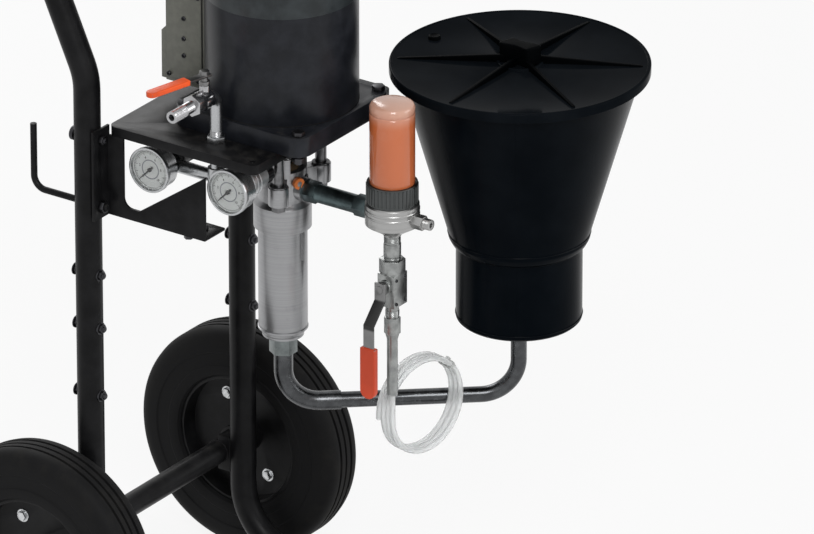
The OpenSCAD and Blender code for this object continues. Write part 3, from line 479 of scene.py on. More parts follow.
BLACK = (0.0045, 0.0045, 0.005)
FINISHES = {
    "powder_coat_black": (powder_coat, BLACK, 0.38, 0.12),
    "grip_rubber": (rubber, (0.006, 0.006, 0.0065)),
    "zinc_steel": (turned_steel, (0.4, 0.41, 0.42), middle("axle_shaft"), "X", 0.34),
    "dark_fastener": (plated, (0.06, 0.06, 0.065), 0.4),
    "motor_charcoal": (powder_coat, (0.0085, 0.0095, 0.0125), 0.34, 0.2),
    "bronze": (turned_steel, (0.55, 0.38, 0.16), above(PUMP, 920), "Z", 0.28),
    "valve_cast": (cast_metal, (0.17, 0.172, 0.148), 0.2, 0.5),
    "spool_steel": (turned_steel, (0.5, 0.51, 0.52), middle("valve_spool"), "Z", 0.2),
    "rod_steel": (polished_rod, (0.72, 0.73, 0.74), above(PUMP, 700)),
    "tie_steel": (plated, (0.2, 0.2, 0.205), 0.34),
    "pump_steel": (turned_steel, (0.35, 0.352, 0.36), above(PUMP, 600), "Z", 0.36),
    "packing_leather": (leather, (0.45, 0.33, 0.2)),
    "nut_steel": (plated, (0.19, 0.21, 0.21), 0.32),
    "pipe_steel": (plated, (0.085, 0.088, 0.092), 0.26, 420),
    "hopper_black": (moulded, (0.0012, 0.0024, 0.004), 0.24, 0.018, 700, 0.00006),
    "lid_black": (moulded, (0.004, 0.0053, 0.007), 0.1, 0.005, 700, 0.00001),
    "sieve_steel": (plated, (0.45, 0.45, 0.46), 0.35),
    # the bowl's paler second colour is a painted highlight on its top
    "bowl_orange": (glossy_shell, (0.6, 0.15, 0.048), (0.7, 0.46, 0.36), 0.9, 0.932),
    "ring_grey": (turned_steel, (0.09, 0.095, 0.095), above(FILTER, 790), "Z", 0.36),
    "filter_mesh": (woven_mesh, (0.5, 0.5, 0.51), above(FILTER, 840)),
    "manifold_silver": (turned_steel, (0.42, 0.42, 0.415), above(FILTER, 750), "Z", 0.32),
    "arm_steel": (plated, (0.11, 0.145, 0.15), 0.36),
    "bleed_steel": (plated, (0.34, 0.35, 0.345), 0.32),
    "clear_hose": (clear_hose,),
    "gauge_silver": (turned_steel, (0.5, 0.51, 0.52), middle("gauge_cases"), "X", 0.28),
    "regulator_black": (moulded, (0.006, 0.0065, 0.0075), 0.42, 0.35),
    "regulator_silver": (cast_metal, (0.52, 0.53, 0.54), 0.9, 0.4),
    "air_bar_alu": (turned_steel, (0.48, 0.49, 0.5), middle("air_bar"), "Y", 0.28),
    "air_valve_nickel": (turned_steel, (0.46, 0.46, 0.47), middle("air_valve_body"), "X", 0.22),
    "rim_paint": (powder_coat, (0.0055, 0.0055, 0.006), 0.38, 0.16),
    "piston_alu": (turned_steel, (0.6, 0.61, 0.62), above(PUMP, 980), "Z", 0.3),
    # the lever's finish paints a darker band of shade between these two heights
    "lever_orange": (painted_shade_steel, (0.22, 0.22, 0.22), 0.59, 0.631),
    "needle_black": (printed, (0.01, 0.01, 0.01), 0.45),
}
FINISHES = {name: kind(name, *values) for name, (kind, *values) in FINISHES.items()}
SLEEVE_RED = moulded("sleeve_red", (0.56, 0.062, 0.022), 0.38, 0.3)
SLEEVE_ORANGE = moulded("sleeve_orange", (0.76, 0.09, 0.016), 0.36, 0.3)
RIB_BLACK = moulded("rib_black", (0.0006, 0.0009, 0.0012), 0.5, 0.012)
PLUG_ORANGE = moulded("plug_orange", (0.72, 0.2, 0.05), 0.38, 0.45)
BAND_GREY = powder_coat("band_grey", (0.02, 0.024, 0.026), 0.32, 0.24)
GLASS = gauge_glass("gauge_glass")
DIAL_WHITE = printed("dial_white", (0.62, 0.63, 0.62), 0.55)
DIAL_BLACK = printed("dial_black", (0.012, 0.012, 0.014), 0.5)
DIAL_GREY = printed("dial_grey", (0.22, 0.23, 0.25), 0.5)
BRIGHT_BOLT = plated("bright_bolt", (0.62, 0.63, 0.64), 0.26)
NYLON = moulded("nylon", (0.55, 0.56, 0.55), 0.42, 0.4)
TYRES = {side: tyre_rubber("tyre_rubber_" + side, WHEELS[side]) for side in WHEELS}


def dress_nodes():
    """Gives every CAD node the finish of its slot in the record."""
    for subpart in frame["record"]["subparts"]:
        node, slot = subpart["node"], subpart["material_slot"]
        if slot == "tyre_rubber":
            finish = TYRES[node.removeprefix("tyre_")]
        else:
            finish = FINISHES[slot]
        for place in frame["nodes"][node].material_slots:
            place.material = finish.material


dress_nodes()

# ---------- modelling ------------------

THREAD_PITCH = 1.5


def clear_selection():
    if bpy.context.object and bpy.context.object.mode != "OBJECT":
        bpy.ops.object.mode_set(mode="OBJECT")
    bpy.ops.object.select_all(action="DESELECT")


def take(*pieces):
    """Selects only these pieces; the first becomes the active one."""
    clear_selection()
    for piece in pieces:
        piece.select_set(True)
    bpy.context.view_layer.objects.active = pieces[0]


def settle(piece, name):
    """Puts a piece's place into its mesh, and names it."""
    take(piece)
    bpy.ops.object.transform_apply(location=True, rotation=True, scale=True)
    piece.name = name
    return piece


def mend(piece):
    """Closes seams and poles, and turns every face outwards."""
    take(piece)
    bpy.ops.object.mode_set(mode="EDIT")
    bpy.ops.mesh.select_all(action="SELECT")
    bpy.ops.mesh.remove_doubles(threshold=1e-6)
    bpy.ops.mesh.normals_make_consistent(inside=False)
    bpy.ops.object.mode_set(mode="OBJECT")
    return piece


def ease(piece, width, segments=2, angle=32):
    """Rounds a piece's sharp edges."""
    take(piece)
    bevel = piece.modifiers.new("ease", "BEVEL")
    bevel.width = width
    bevel.segments = segments
    bevel.limit_method = "ANGLE"
    bevel.angle_limit = math.radians(angle)
    bpy.ops.object.modifier_apply(modifier="ease")
    return piece


def smooth(piece, angle):
    """Shades a piece smooth except across edges sharper than an angle."""
    take(piece)
    bpy.ops.object.shade_smooth_by_angle(angle=math.radians(angle))
    return piece


def turned(name, outline, centre, axis, steps):
    """A piece from the lathe. The outline's (radius, along) points are in millimetres from the centre."""
    clear_selection()
    side = Y_AXIS if abs(axis.x) > 0.5 else X_AXIS
    side = (side - axis * side.dot(axis)).normalized()
    points = [centre + (side * radius + axis * along) * MM for radius, along in outline]
    bpy.ops.mesh.primitive_plane_add(size=MM, location=points[0])
    piece = bpy.context.object
    bpy.ops.object.transform_apply(location=True, rotation=True, scale=True)
    bpy.ops.object.mode_set(mode="EDIT")
    bpy.ops.mesh.merge(type="CENTER")
    for start, end in zip(points, points[1:]):
        bpy.ops.mesh.extrude_region_move(TRANSFORM_OT_translate={"value": end - start})
    bpy.ops.mesh.select_all(action="SELECT")
    bpy.ops.mesh.spin(steps=steps, angle=math.tau, center=centre, axis=axis)
    bpy.ops.object.mode_set(mode="OBJECT")
    piece.name = name
    return mend(piece)


def prism(name, sides, radius, length, centre, axis=Z_AXIS):
    """A straight prism whose base is at the centre and which runs along the axis, in millimetres."""
    clear_selection()
    bpy.ops.mesh.primitive_cylinder_add(vertices=sides, radius=radius * MM, depth=length * MM)
    piece = bpy.context.object
    way = axis.normalized()
    piece.matrix_world = (Matrix.Translation(centre + way * length * MM / 2)
                          @ way.to_track_quat("Z", "Y").to_matrix().to_4x4())
    return settle(piece, name)


def block(name, low, high):
    """A block between two corners."""
    clear_selection()
    bpy.ops.mesh.primitive_cube_add(size=1, location=(low + high) / 2)
    piece = bpy.context.object
    piece.scale = high - low
    return settle(piece, name)


def joined(name, pieces):
    """One piece made of several, each of which keeps its finish."""
    take(*pieces)
    bpy.ops.object.join()
    pieces[0].name = name
    return pieces[0]


def copied(piece, turn):
    """A copy with a mesh of its own, moved by a matrix."""
    twin = piece.copy()
    twin.data = piece.data.copy()
    bpy.context.scene.collection.objects.link(twin)
    twin.data.transform(turn)
    return twin


def hand_in(piece, slot, body="frame", finish=None, name=None):
    """Gives a piece its finish, that of its slot unless another is given, and says what it moves with."""
    if name:
        piece.name = name
    piece.data.materials.clear()
    piece.data.materials.append((finish or FINISHES[slot]).material)
    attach(piece, body)
    return piece


def assemble(name, parts, slot, angle=35, **place):
    """Joins parts into one smooth piece and hands it in."""
    return hand_in(smooth(joined(name, parts), angle), slot, **place)


def round_the(centre, axis, angle):
    """A turn about an axis through a point, in degrees."""
    return (Matrix.Translation(centre) @ Matrix.Rotation(math.radians(angle), 4, axis)
            @ Matrix.Translation(-centre))


def eased_copy(node, width):
    """A copy of a CAD node with rounded edges, which stands for the node."""
    source = frame["nodes"][node]
    piece = source.copy()
    piece.data = source.data.copy()
    piece.name = node + "_eased"
    body = piece["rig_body"]
    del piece["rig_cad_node"]
    bpy.context.scene.collection.objects.link(piece)
    take(piece)
    bpy.ops.mesh.customdata_custom_splitnormals_clear()
    bpy.ops.object.mode_set(mode="EDIT")
    bpy.ops.mesh.select_all(action="SELECT")
    bpy.ops.mesh.remove_doubles(threshold=1e-6)
    bpy.ops.mesh.dissolve_limited(angle_limit=math.radians(0.4))
    bpy.ops.object.mode_set(mode="OBJECT")
    ease(piece, width * MM)
    smooth(piece, 38)
    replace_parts(piece, node)
    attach(piece, body)


def plate(name, outline, thick, centre, across, up=Z_AXIS):
    """A flat plate cut to an outline of (across, up) points in millimetres, and as thick as given."""
    clear_selection()
    bpy.ops.mesh.primitive_circle_add(vertices=len(outline), radius=MM, fill_type="NGON")
    piece = bpy.context.object
    through = across.cross(up)
    for vertex, (along, high) in zip(piece.data.vertices, outline):
        vertex.co = centre + (across * along + up * high - through * thick / 2) * MM
    bpy.ops.object.mode_set(mode="EDIT")
    bpy.ops.mesh.select_all(action="SELECT")
    bpy.ops.mesh.extrude_region_move(TRANSFORM_OT_translate={"value": through * thick * MM})
    bpy.ops.object.mode_set(mode="OBJECT")
    piece.name = name
    return mend(piece)


def band(inner, outer, low, high, slope=0.0):
    """The closed outline of a ring for the lathe, whose outer edges may slope in."""
    return [(inner, low), (outer, low + slope), (outer, high - slope), (inner, high), (inner, low)]


def thread(name, centre, axis, radius, length):
    """A sleeve of thread crests round a plain end."""
    turns = int(length / THREAD_PITCH)
    outline = [(radius - 0.3, 0)]
    for turn in range(turns):
        outline += [(radius + proud, (turn + share) * THREAD_PITCH)
                    for proud, share in ((0, 0.15), (0.4, 0.5), (0, 0.85))]
    outline.append((radius - 0.3, turns * THREAD_PITCH))
    return turned(name, outline, centre, axis, 32)


def hexagon(name, flats, length, centre, axis):
    """A hexagonal nut or head with chamfered corners."""
    piece = prism(name, 6, flats / 2 / math.cos(math.radians(30)), length, centre, axis)
    return smooth(ease(piece, 0.07 * flats * MM), 25)


def weld(name, route, closed=True, size=2.2):
    """A rippled weld bead along a route of points."""
    bead = bpy.data.curves.new(name, "CURVE")
    bead.dimensions = "3D"
    bead.bevel_depth = size * MM
    bead.bevel_resolution = 2
    line = bead.splines.new("POLY")
    line.points.add(len(route) - 1)
    for index, (point, place) in enumerate(zip(line.points, route)):
        point.co = (*place, 1)
        point.radius = 1.0 if index % 2 else 0.78
    line.use_cyclic_u = closed
    piece = bpy.data.objects.new(name, bead)
    bpy.context.scene.collection.objects.link(piece)
    take(piece)
    bpy.ops.object.convert(target="MESH")
    return smooth(mend(piece), 60)


# ---------- rounded edges ----------

EASED = {
    "shelf": 0.9, "side_plates": 0.9, "motor_base": 2.2, "motor_cylinder": 0.8, "motor_cap": 1.8,
    "air_valve_block": 1.4, "pump_head": 0.9, "pump_cylinder": 0.8, "inlet_housing": 0.8, "union_nut": 1.0,
    "rod_coupling": 0.6, "tie_rods": 0.7, "ring_nut": 0.5,
    "filter_manifold": 0.9, "filter_bowl": 0.6, "pressure_arm": 0.8, "outlet_nipple": 0.5, "bleed_valve": 0.6,
    "drain_tube": 0.5, "gauge_cases": 0.8, "regulator_black": 0.8, "regulator_silver": 0.8, "knob_black": 0.7,
    "knob_silver": 0.7, "air_bar": 0.5, "air_valve_body": 0.6, "air_lever": 0.5, "bleed_lever": 0.5,
    "rim_left": 0.8, "rim_right": 0.8, "axle_tube": 0.6, "hose_hooks": 0.5, "rubber_feet": 1.6,
    "foot_bar": 0.4, "bolts": 0.5,
}
for eased_node, eased_width in EASED.items():
    eased_copy(eased_node, eased_width)

# ---------- return hose ----------

HOSE_RADIUS = 4.5
HOSE_BORE = 3.0
HOSE_SIDES = 14
HOSE_EXIT = at(0, FILTER_Y, 466)
COIL_START = at(0, FILTER_Y, 424)
COIL_RADIUS = 71
COIL_PITCH = 9.6
COIL_LOOPS = 3
LOOP_STEPS = 48
COIL_ACROSS = Vector((0.978, -0.208, 0))
COIL_ALONG = Vector((0.208, 0.978, 0))


def coil_out(turn):
    """The way from the coil's axis to the hose, after turning through an angle in radians."""
    return -math.cos(turn) * COIL_ACROSS - math.sin(turn) * Z_AXIS


def coil_point(turn):
    return (COIL_START + COIL_RADIUS * MM * (COIL_ACROSS + coil_out(turn))
            + COIL_PITCH * MM * turn / math.tau * COIL_ALONG)


def return_hose():
    """The clear hose: straight down from the drain tube, three loops, and a bare end."""
    turns = [math.tau * step / LOOP_STEPS for step in range(COIL_LOOPS * LOOP_STEPS + 1)]
    drop = [HOSE_EXIT.lerp(COIL_START, share) for share in (0, 0.25, 0.5, 0.75)]
    tail = coil_point(turns[-1]) - Z_AXIS * 2 * HOSE_RADIUS * MM
    route = drop + [coil_point(turn) for turn in turns] + [tail]
    outs = [coil_out(0)] * len(drop) + [coil_out(turn) for turn in turns] + [coil_out(0)]
    points = []
    for place, out in zip(route, outs):
        for radius in (HOSE_RADIUS, HOSE_BORE):
            for side in range(HOSE_SIDES):
                angle = math.tau * side / HOSE_SIDES
                points.append(place + radius * MM * (math.cos(angle) * out + math.sin(angle) * COIL_ALONG))
    faces = []
    ring = 2 * HOSE_SIDES
    last = (len(route) - 1) * ring
    for side in range(HOSE_SIDES):
        after = (side + 1) % HOSE_SIDES
        for start in range(0, last, ring):
            faces.append((start + side, start + after, start + ring + after, start + ring + side))
            inner = start + HOSE_SIDES
            faces.append((inner + after, inner + side, inner + ring + side, inner + ring + after))
        for start in (0, last):
            faces.append((start + side, start + after, start + HOSE_SIDES + after, start + HOSE_SIDES + side))
    mesh = bpy.data.meshes.new("return_hose")
    mesh.from_pydata(points, [], faces)
    hose = bpy.data.objects.new("return_hose", mesh)
    bpy.context.scene.collection.objects.link(hose)
    smooth(mend(hose), 50)
    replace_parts(hose, "return_hose_drop", "return_hose_coil")
    hand_in(hose, "clear_hose")


def hose_tie():
    """A nylon strap round the three loops, with its head."""
    turn = math.radians(222)
    out = coil_out(turn)
    way = out.cross(COIL_ALONG)
    spread = (COIL_LOOPS - 1) * COIL_PITCH / 2
    heart = coil_point(turn) + COIL_ALONG * spread * MM
    clear_selection()
    bpy.ops.mesh.primitive_cylinder_add(vertices=32, radius=(HOSE_RADIUS + 0.7) * MM, depth=4 * MM,
                                        end_fill_type="NOTHING")
    strap = bpy.context.object
    for vertex in strap.data.vertices:
        vertex.co.y += math.copysign(spread * MM, vertex.co.y)
    wall = strap.modifiers.new("wall", "SOLIDIFY")
    wall.thickness = 1.1 * MM
    wall.offset = 0
    bpy.ops.object.modifier_apply(modifier="wall")
    head = block("head", Vector((-1.5, -3, -3)) * MM, Vector((3, 3, 3)) * MM)
    head.data.transform(Matrix.Translation(Vector((HOSE_RADIUS + 1.6, 2, 0)) * MM))
    tie = joined("hose_tie", [strap, ease(head, 0.6 * MM)])
    tie.data.transform(Matrix.Translation(heart)
                       @ Matrix((out, COIL_ALONG, way)).transposed().to_4x4())
    hand_in(smooth(mend(tie), 40), "clear_hose", finish=NYLON)


return_hose()
hose_tie()

# ---------- wheels ----------

TYRE_HALF = [(104, -24), (104, -33), (107, -38), (112, -40), (122, -40), (124, -38.6), (143, -38.6),
             (145, -40), (157, -40), (165, -38.4), (173, -34), (178, -27.5), (180, -20), (180, -15.5),
             (176.4, -14.7), (176.4, -11.3), (180, -10.5), (180, -2.2), (176.4, -1.5)]
TYRE_STEPS = 160
SIPE_EVERY = 5
RIM_BOLT_CIRCLE = 70


def tyre(side):
    """A solid-looking tyre with three grooves, shoulder slots and stepped walls."""
    centre = WHEELS[side]
    outline = TYRE_HALF + [(radius, -along) for radius, along in reversed(TYRE_HALF)]
    piece = turned("tyre_" + side + "_treaded", outline + outline[:1], centre, X_AXIS, TYRE_STEPS)
    take(piece)
    for face in piece.data.polygons:
        way = face.center - centre
        radius = math.hypot(way.y, way.z)
        sector = int((math.atan2(way.z, way.y) / math.tau + 1) * TYRE_STEPS + 0.01)
        shoulder = 18 * MM < abs(way.x) < 38 * MM and radius > 163 * MM
        face.select = shoulder and sector % SIPE_EVERY == 0
    bpy.ops.object.mode_set(mode="EDIT")
    bpy.ops.mesh.select_mode(type="FACE")
    bpy.ops.mesh.extrude_region_shrink_fatten(TRANSFORM_OT_shrink_fatten={"value": -3 * MM})
    bpy.ops.mesh.select_mode(type="VERT")
    bpy.ops.object.mode_set(mode="OBJECT")
    smooth(piece, 30)
    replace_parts(piece, "tyre_" + side)
    hand_in(piece, "tyre_rubber", "wheel_" + side, TYRES[side])


def rim_bolts(side):
    """Bright bolts, washers and nuts through the rim's disc."""
    centre = WHEELS[side]
    parts = []
    for face in (-1, 1):
        foot = centre + Vector((face * 3, 0, RIM_BOLT_CIRCLE)) * MM
        axis = X_AXIS * face
        parts.append(turned("washer", [(7, 0), (10.5, 0), (10.5, 1.2), (10, 1.6), (7, 1.6)], foot, axis, 32))
        parts.append(hexagon("head", 13.6, 6.4, foot, axis))
    parts.append(turned("end", [(0, 6), (4, 6), (4, 8.6), (3.2, 9.4), (0, 9.4)],
                        centre + Vector((3, 0, RIM_BOLT_CIRCLE)) * MM, X_AXIS, 24))
    first = joined("bolt", parts)
    first.data.transform(round_the(centre, "X", -32))
    assemble("rim_bolts_" + side, [first, copied(first, round_the(centre, "X", 180))], "zinc_steel", 30,
             body="wheel_" + side, finish=BRIGHT_BOLT)


for wheel_side in WHEELS:
    tyre(wheel_side)
    rim_bolts(wheel_side)

# ---------- cart ----------

GRIP_LINE = at(0, 126.6, 1225.6)
GRIP_OUTLINE = [(20.1, 0), (22.6, 0), (23.5, 0.9), (23.5, 8), (21.9, 9.2)]
GRIP_RIB_PITCH = 6.4
GRIP_RIBS = 13


def handle_grips():
    """Rubber grips with a collar at each end and ribs between."""
    outline = list(GRIP_OUTLINE)
    for rib in range(GRIP_RIBS):
        foot = 10.8 + rib * GRIP_RIB_PITCH
        outline += [(21.9, foot), (23.0, foot + 0.9), (23.0, foot + 3.3), (21.9, foot + 4.2)]
    outline += [(21.9, 95.8), (23.5, 97), (23.5, 104), (22.4, 105), (20.1, 105), (20.1, 0)]
    grips = [turned("grip", outline, GRIP_LINE + X_AXIS * side * 8 * MM, X_AXIS * side, 48)
             for side in (-1, 1)]
    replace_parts(assemble("handle_grips_ribbed", grips, "grip_rubber", 40), "handle_grips")


def ring_route(centre, axis, radius, steps):
    """Points on a circle round an axis, at a radius in millimetres."""
    side = axis.orthogonal().normalized()
    other = axis.cross(side)
    turns = [math.tau * step / steps for step in range(steps)]
    return [centre + (side * math.cos(turn) + other * math.sin(turn)) * radius * MM for turn in turns]


def cart_welds():
    """The beads that hold the foot bar, the axle's saddles and the handle bow."""
    beads = []
    lean = Vector((0, math.sin(TUBE_LEAN), math.cos(TUBE_LEAN)))
    for side in (-1, 1):
        foot = []
        for step in range(72):
            turn = math.tau * step / 72
            along, high = FOOT_BAR_RADIUS * math.cos(turn), FOOT_BAR_RADIUS * math.sin(turn)
            reach = TUBE_X - math.sqrt(TUBE_RADIUS ** 2 - high ** 2)
            foot.append(at(side * reach, FOOT_BAR[0] + along, FOOT_BAR[1] + high))
        beads.append(weld("bead", foot))
        beads.append(weld("bead", ring_route(at(side * TUBE_X, *BOW_FOOT), lean, 20.2, 84), size=1.6))
        for face in (-1, 1):
            inner = side * (TUBE_X + face * 13)
            beads.append(weld("bead", ring_route(at(inner, *AXLE), X_AXIS, 17.6, 64), size=1.9))
            seam = [at(inner, 15.6, 153 + 54 * step / 24) for step in range(25)]
            beads.append(weld("bead", seam, False, 1.9))
    hand_in(joined("cart_welds", beads), "powder_coat_black")


def tube_washers():
    """Washers under the bolts through the side tubes."""
    washers = []
    for side in (-1, 1):
        for height in TUBE_BOLT_HEIGHTS:
            for face in (-1, 1):
                foot = at(side * TUBE_X, face * TUBE_RADIUS + (0 if face < 0 else 5), height)
                washers.append(turned("washer", [(6, -1.4), (9.6, -1.4), (9.6, 0.2), (8.8, 0.9), (6, 0.9)],
                                   foot, Y_AXIS * face, 28))
    assemble("tube_washers", washers, "dark_fastener")


handle_grips()
cart_welds()
tube_washers()

# ---------- air motor ----------

MOTOR_CENTRE = above(PUMP, 0)
LOUVRES = 7
LOUVRE_PITCH = 8.6


def socket_screw(foot, axis, radius, high):
    """A cylinder-headed screw with its socket."""
    hollow = radius * 0.52
    outline = [(0, -1.5), (radius, -1.5), (radius, high - 0.6), (radius - 0.6, high), (hollow, high),
               (hollow * 0.92, high * 0.42), (0, high * 0.38)]
    return turned("screw", outline, foot, axis, 24)


def motor_trim():
    """The plain sleeve round the cylinder's upper half, and the seals at its base and under its cover."""
    outline = [(112.4, 1063), (113.3, 1063.6), (113.5, 1064.6), (113.5, 1183), (113.2, 1184), (112.4, 1184.4),
               (112.4, 1063)]
    sleeve = turned("motor_sleeve", outline, MOTOR_CENTRE, Z_AXIS, 144)
    hand_in(smooth(sleeve, 30), "motor_charcoal", finish=BAND_GREY)
    seals = [turned("seal", band(112.2, 113.3, z, z + 1.8, 0.2), MOTOR_CENTRE, Z_AXIS, 144)
             for z in (893.2, 1188)]
    assemble("cylinder_seals", seals, "grip_rubber", 40)


def valve_face():
    """The cover plate on the valve block's outer side, its gasket and its screws."""
    gasket = ease(block("gasket", at(-45.8, -102.5, 899), at(-44.6, -38.5, 1176)), 0.3 * MM)
    hand_in(gasket, "grip_rubber")
    cover = block("cover", at(-49.2, -101.5, 900), at(-45.6, -39.5, 1175))
    take(cover)
    for face in cover.data.polygons:
        face.select = face.normal.x < -0.9
    bpy.ops.object.mode_set(mode="EDIT")
    bpy.ops.mesh.select_mode(type="FACE")
    bpy.ops.mesh.inset(thickness=9 * MM)
    bpy.ops.transform.translate(value=(1.3 * MM, 0, 0))
    bpy.ops.mesh.select_mode(type="VERT")
    bpy.ops.object.mode_set(mode="OBJECT")
    cover = smooth(ease(cover, 0.8 * MM, 3, 20), 35)
    hand_in(cover, "valve_cast", name="valve_cover")
    spots = [(-70.5, z) for z in (940, 967, 999, 1128)]
    spots += [(y, z) for y in (-97, -44) for z in (906, 1038, 1169)]
    screws = [socket_screw(at(-48.6 + (1.3 if y == -70.5 else 0), y, z), -X_AXIS, 3.6, 2.6) for y, z in spots]
    assemble("valve_screws", screws, "dark_fastener", 30)


def exhaust_louvres():
    """Slanted slats over the exhaust cover's openings, on the back of the valve block."""
    slats = []
    for step in range(LOUVRES):
        height = 905 + step * LOUVRE_PITCH
        slat = block("slat", at(-33, -26.4, height), at(33, -24.6, height + 4.6))
        for vertex in slat.data.vertices:
            if vertex.co.z > at(0, 0, height + 2).z and vertex.co.y > at(0, -25.5, 0).y:
                vertex.co.y -= 1.2 * MM
        slats.append(ease(slat, 0.5 * MM, 2, 20))
    for x in (-37, 37):
        for z in (899, 961):
            slats.append(socket_screw(at(x, -25.2, z), Y_AXIS, 3, 1.0))
    assemble("exhaust_louvres", slats, "dark_fastener")


motor_trim()
valve_face()
exhaust_louvres()

# ---------- pump ----------


def head_plug():
    """The orange plug in the pump head's boss, and the dark set screw beside it."""
    boss_axis = heading(-110)
    foot = above(PUMP, 769) + boss_axis * 36 * MM
    plug = turned("plug", [(7.1, 1.6), (8.4, 1.6), (8.8, 2.2), (8.8, 8), (8.2, 8.8), (4.1, 8.8), (3.8, 6.4),
                           (0, 6.2), (0, 1.6)], foot, boss_axis, 40)
    hand_in(smooth(plug, 35), "pump_steel", finish=PLUG_ORANGE, name="head_plug")
    side_axis = heading(-72)
    screw = socket_screw(above(PUMP, 768) + side_axis * 35 * MM, side_axis, 6, 3)
    hand_in(smooth(screw, 35), "dark_fastener", name="head_set_screw")


def tie_washers():
    """Washers above the pump head's ears, and lock rings at the motor's base."""
    rings = []
    for angle in TIE_ROD_ANGLES:
        out = heading(angle) * TIE_ROD_CIRCLE * MM
        foot = above(PUMP, 776) + out
        rings.append(turned("washer", [(8, 0), (13.6, 0), (13.6, 2), (13, 2.5), (8, 2.5)], foot, Z_AXIS, 36))
        collar = above(PUMP, 846) + out
        rings.append(turned("collar", [(8, 0), (10.6, 0), (11.6, 1), (11.6, 8), (10.6, 9), (8, 9)], collar,
                            Z_AXIS, 36))
    assemble("tie_washers", rings, "tie_steel")


def cylinder_joints():
    """Gland rings at the cylinder's joints with the head and the inlet housing."""
    rings = [turned("joint", band(36, 37.4, z, z + 3.5, 0.5), MOTOR_CENTRE, Z_AXIS, 96) for z in (684, 524)]
    assemble("cylinder_joints", rings, "pump_steel")


head_plug()
tie_washers()
cylinder_joints()

# ---------- hopper ----------

HOPPER_CENTRE = above(HOPPER, 0)
LID_TOP = 934
SHELL_OUTLINE = [(12, 515), (22, 515), (22, 525), (89.5, 525), (93.5, 529), (93.5, 646), (100.5, 651),
                 (105, 660), (105, 666), (177, 918), (184, 918), (184, 928), (176, 928), (101, 667),
                 (101, 656), (89.5, 656), (89.5, 549), (20, 537), (12, 537), (12, 515)]
LID_OUTLINE = [(0, 934), (30, 934), (30, 937), (33, 937), (34.2, 936.2), (34.6, 934), (186.4, 934),
               (187, 935), (189.4, 935.3), (191.2, 934.6), (192, 933), (192, 921), (191.4, 920),
               (188.4, 920), (188, 920.6), (188, 928.3), (0, 928.3), (0, 934)]
RIB_OUTLINE = [(0, -1), (180, -1), (180, 0.6), (176, 1.6), (27, 12), (0, 12)]


def hopper_shell():
    """The hopper's moulding: bowl, collar, cone and rim in one, with its beads and parting lines."""
    shell = ease(turned("shell", SHELL_OUTLINE, HOPPER_CENTRE, Z_AXIS, 180), 1.1 * MM, 3, 12)
    parts = [smooth(shell, 30)]
    for radius, height, size in ((93.3, 534, 1.2), (104.8, 666, 1.4)):
        parts.append(turned("bead", [(radius - 1, height - size), (radius + size * 0.6, height - size * 0.7),
                                     (radius + size, height), (radius + size * 0.6, height + size * 0.7),
                                     (radius - 1, height + size), (radius - 1, height - size)],
                            HOPPER_CENTRE, Z_AXIS, 180))
    for angle in (32, 212):
        way = heading(angle)
        for low, high in (((93.3, 538), (93.3, 645)), ((105.3, 669), (175.8, 914))):
            ends = [HOPPER_CENTRE + (way * radius + Z_AXIS * height) * MM for radius, height in (low, high)]
            along = ends[1] - ends[0]
            parts.append(ease(prism("parting", 8, 0.55, along.length / MM, ends[0], along), 0.2 * MM, 1))
    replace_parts(assemble("hopper_shell", parts, "hopper_black", 30), "hopper_bowl", "hopper_cone")


def knob_outline():
    """Half of a knob seen from above, pinched along its two long sides."""
    outline = []
    for step in range(17):
        y = 22 - 44 * step / 16
        outline.append((14 - 3.2 * math.cos(math.pi * y / 44) ** 2, y))
    for step in range(1, 7):
        turn = math.radians(-15 * step)
        outline.append((9 + 5 * math.cos(turn), -24.5 + 5 * math.sin(turn)))
    return outline


def hopper_lid():
    """The lid with its six tapered ribs, pinched knob and vent plug."""
    lid = smooth(ease(turned("lid", LID_OUTLINE, HOPPER_CENTRE, Z_AXIS, 180), 0.7 * MM, 2, 20), 32)
    body = frame["nodes"]["hopper_lid"]["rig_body"]
    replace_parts(lid, "hopper_lid")
    hand_in(lid, "lid_black", body, name="hopper_lid_turned")
    parts = []
    for angle in range(0, 360, 60):
        rib = plate("rib", RIB_OUTLINE, 5, above(HOPPER, LID_TOP), heading(angle))
        parts.append(ease(rib, 1.1 * MM, 3, 25))
    half = knob_outline()
    outline = half + [(-x, -y) for x, y in half]
    knob = plate("knob", outline[::-1], 30, above(HOPPER, LID_TOP + 15), X_AXIS, Y_AXIS)
    parts.append(ease(knob, 2.6 * MM, 4, 50))
    vent = HOPPER_CENTRE + Y_AXIS * 152 * MM
    outline = [(0, 938.6), (6.2, 938.6), (7.4, 939.2), (8.6, 938.6), (9.2, 936.8), (9.4, 933.4), (0, 933.4),
               (0, 938.6)]
    parts.append(turned("vent", outline, vent, Z_AXIS, 40))
    for side in (-1, 1):
        for step in range(5):
            low = HOPPER_CENTRE + Vector((side * 11.2 - 0.8, -15, 941 + step * 4)) * MM
            parts.append(ease(block("grip_rib", low, low + Vector((1.6, 30, 1.8)) * MM), 0.5 * MM, 2))
    assemble("lid_ribs", parts, "lid_black", 32, body=body, finish=RIB_BLACK)


hopper_shell()
hopper_lid()

# ---------- filter, outlet and bleed line ----------

FILTER_CENTRE = above(FILTER, 0)
RIDGES = 36
RIDGE_CIRCLE = 37.6


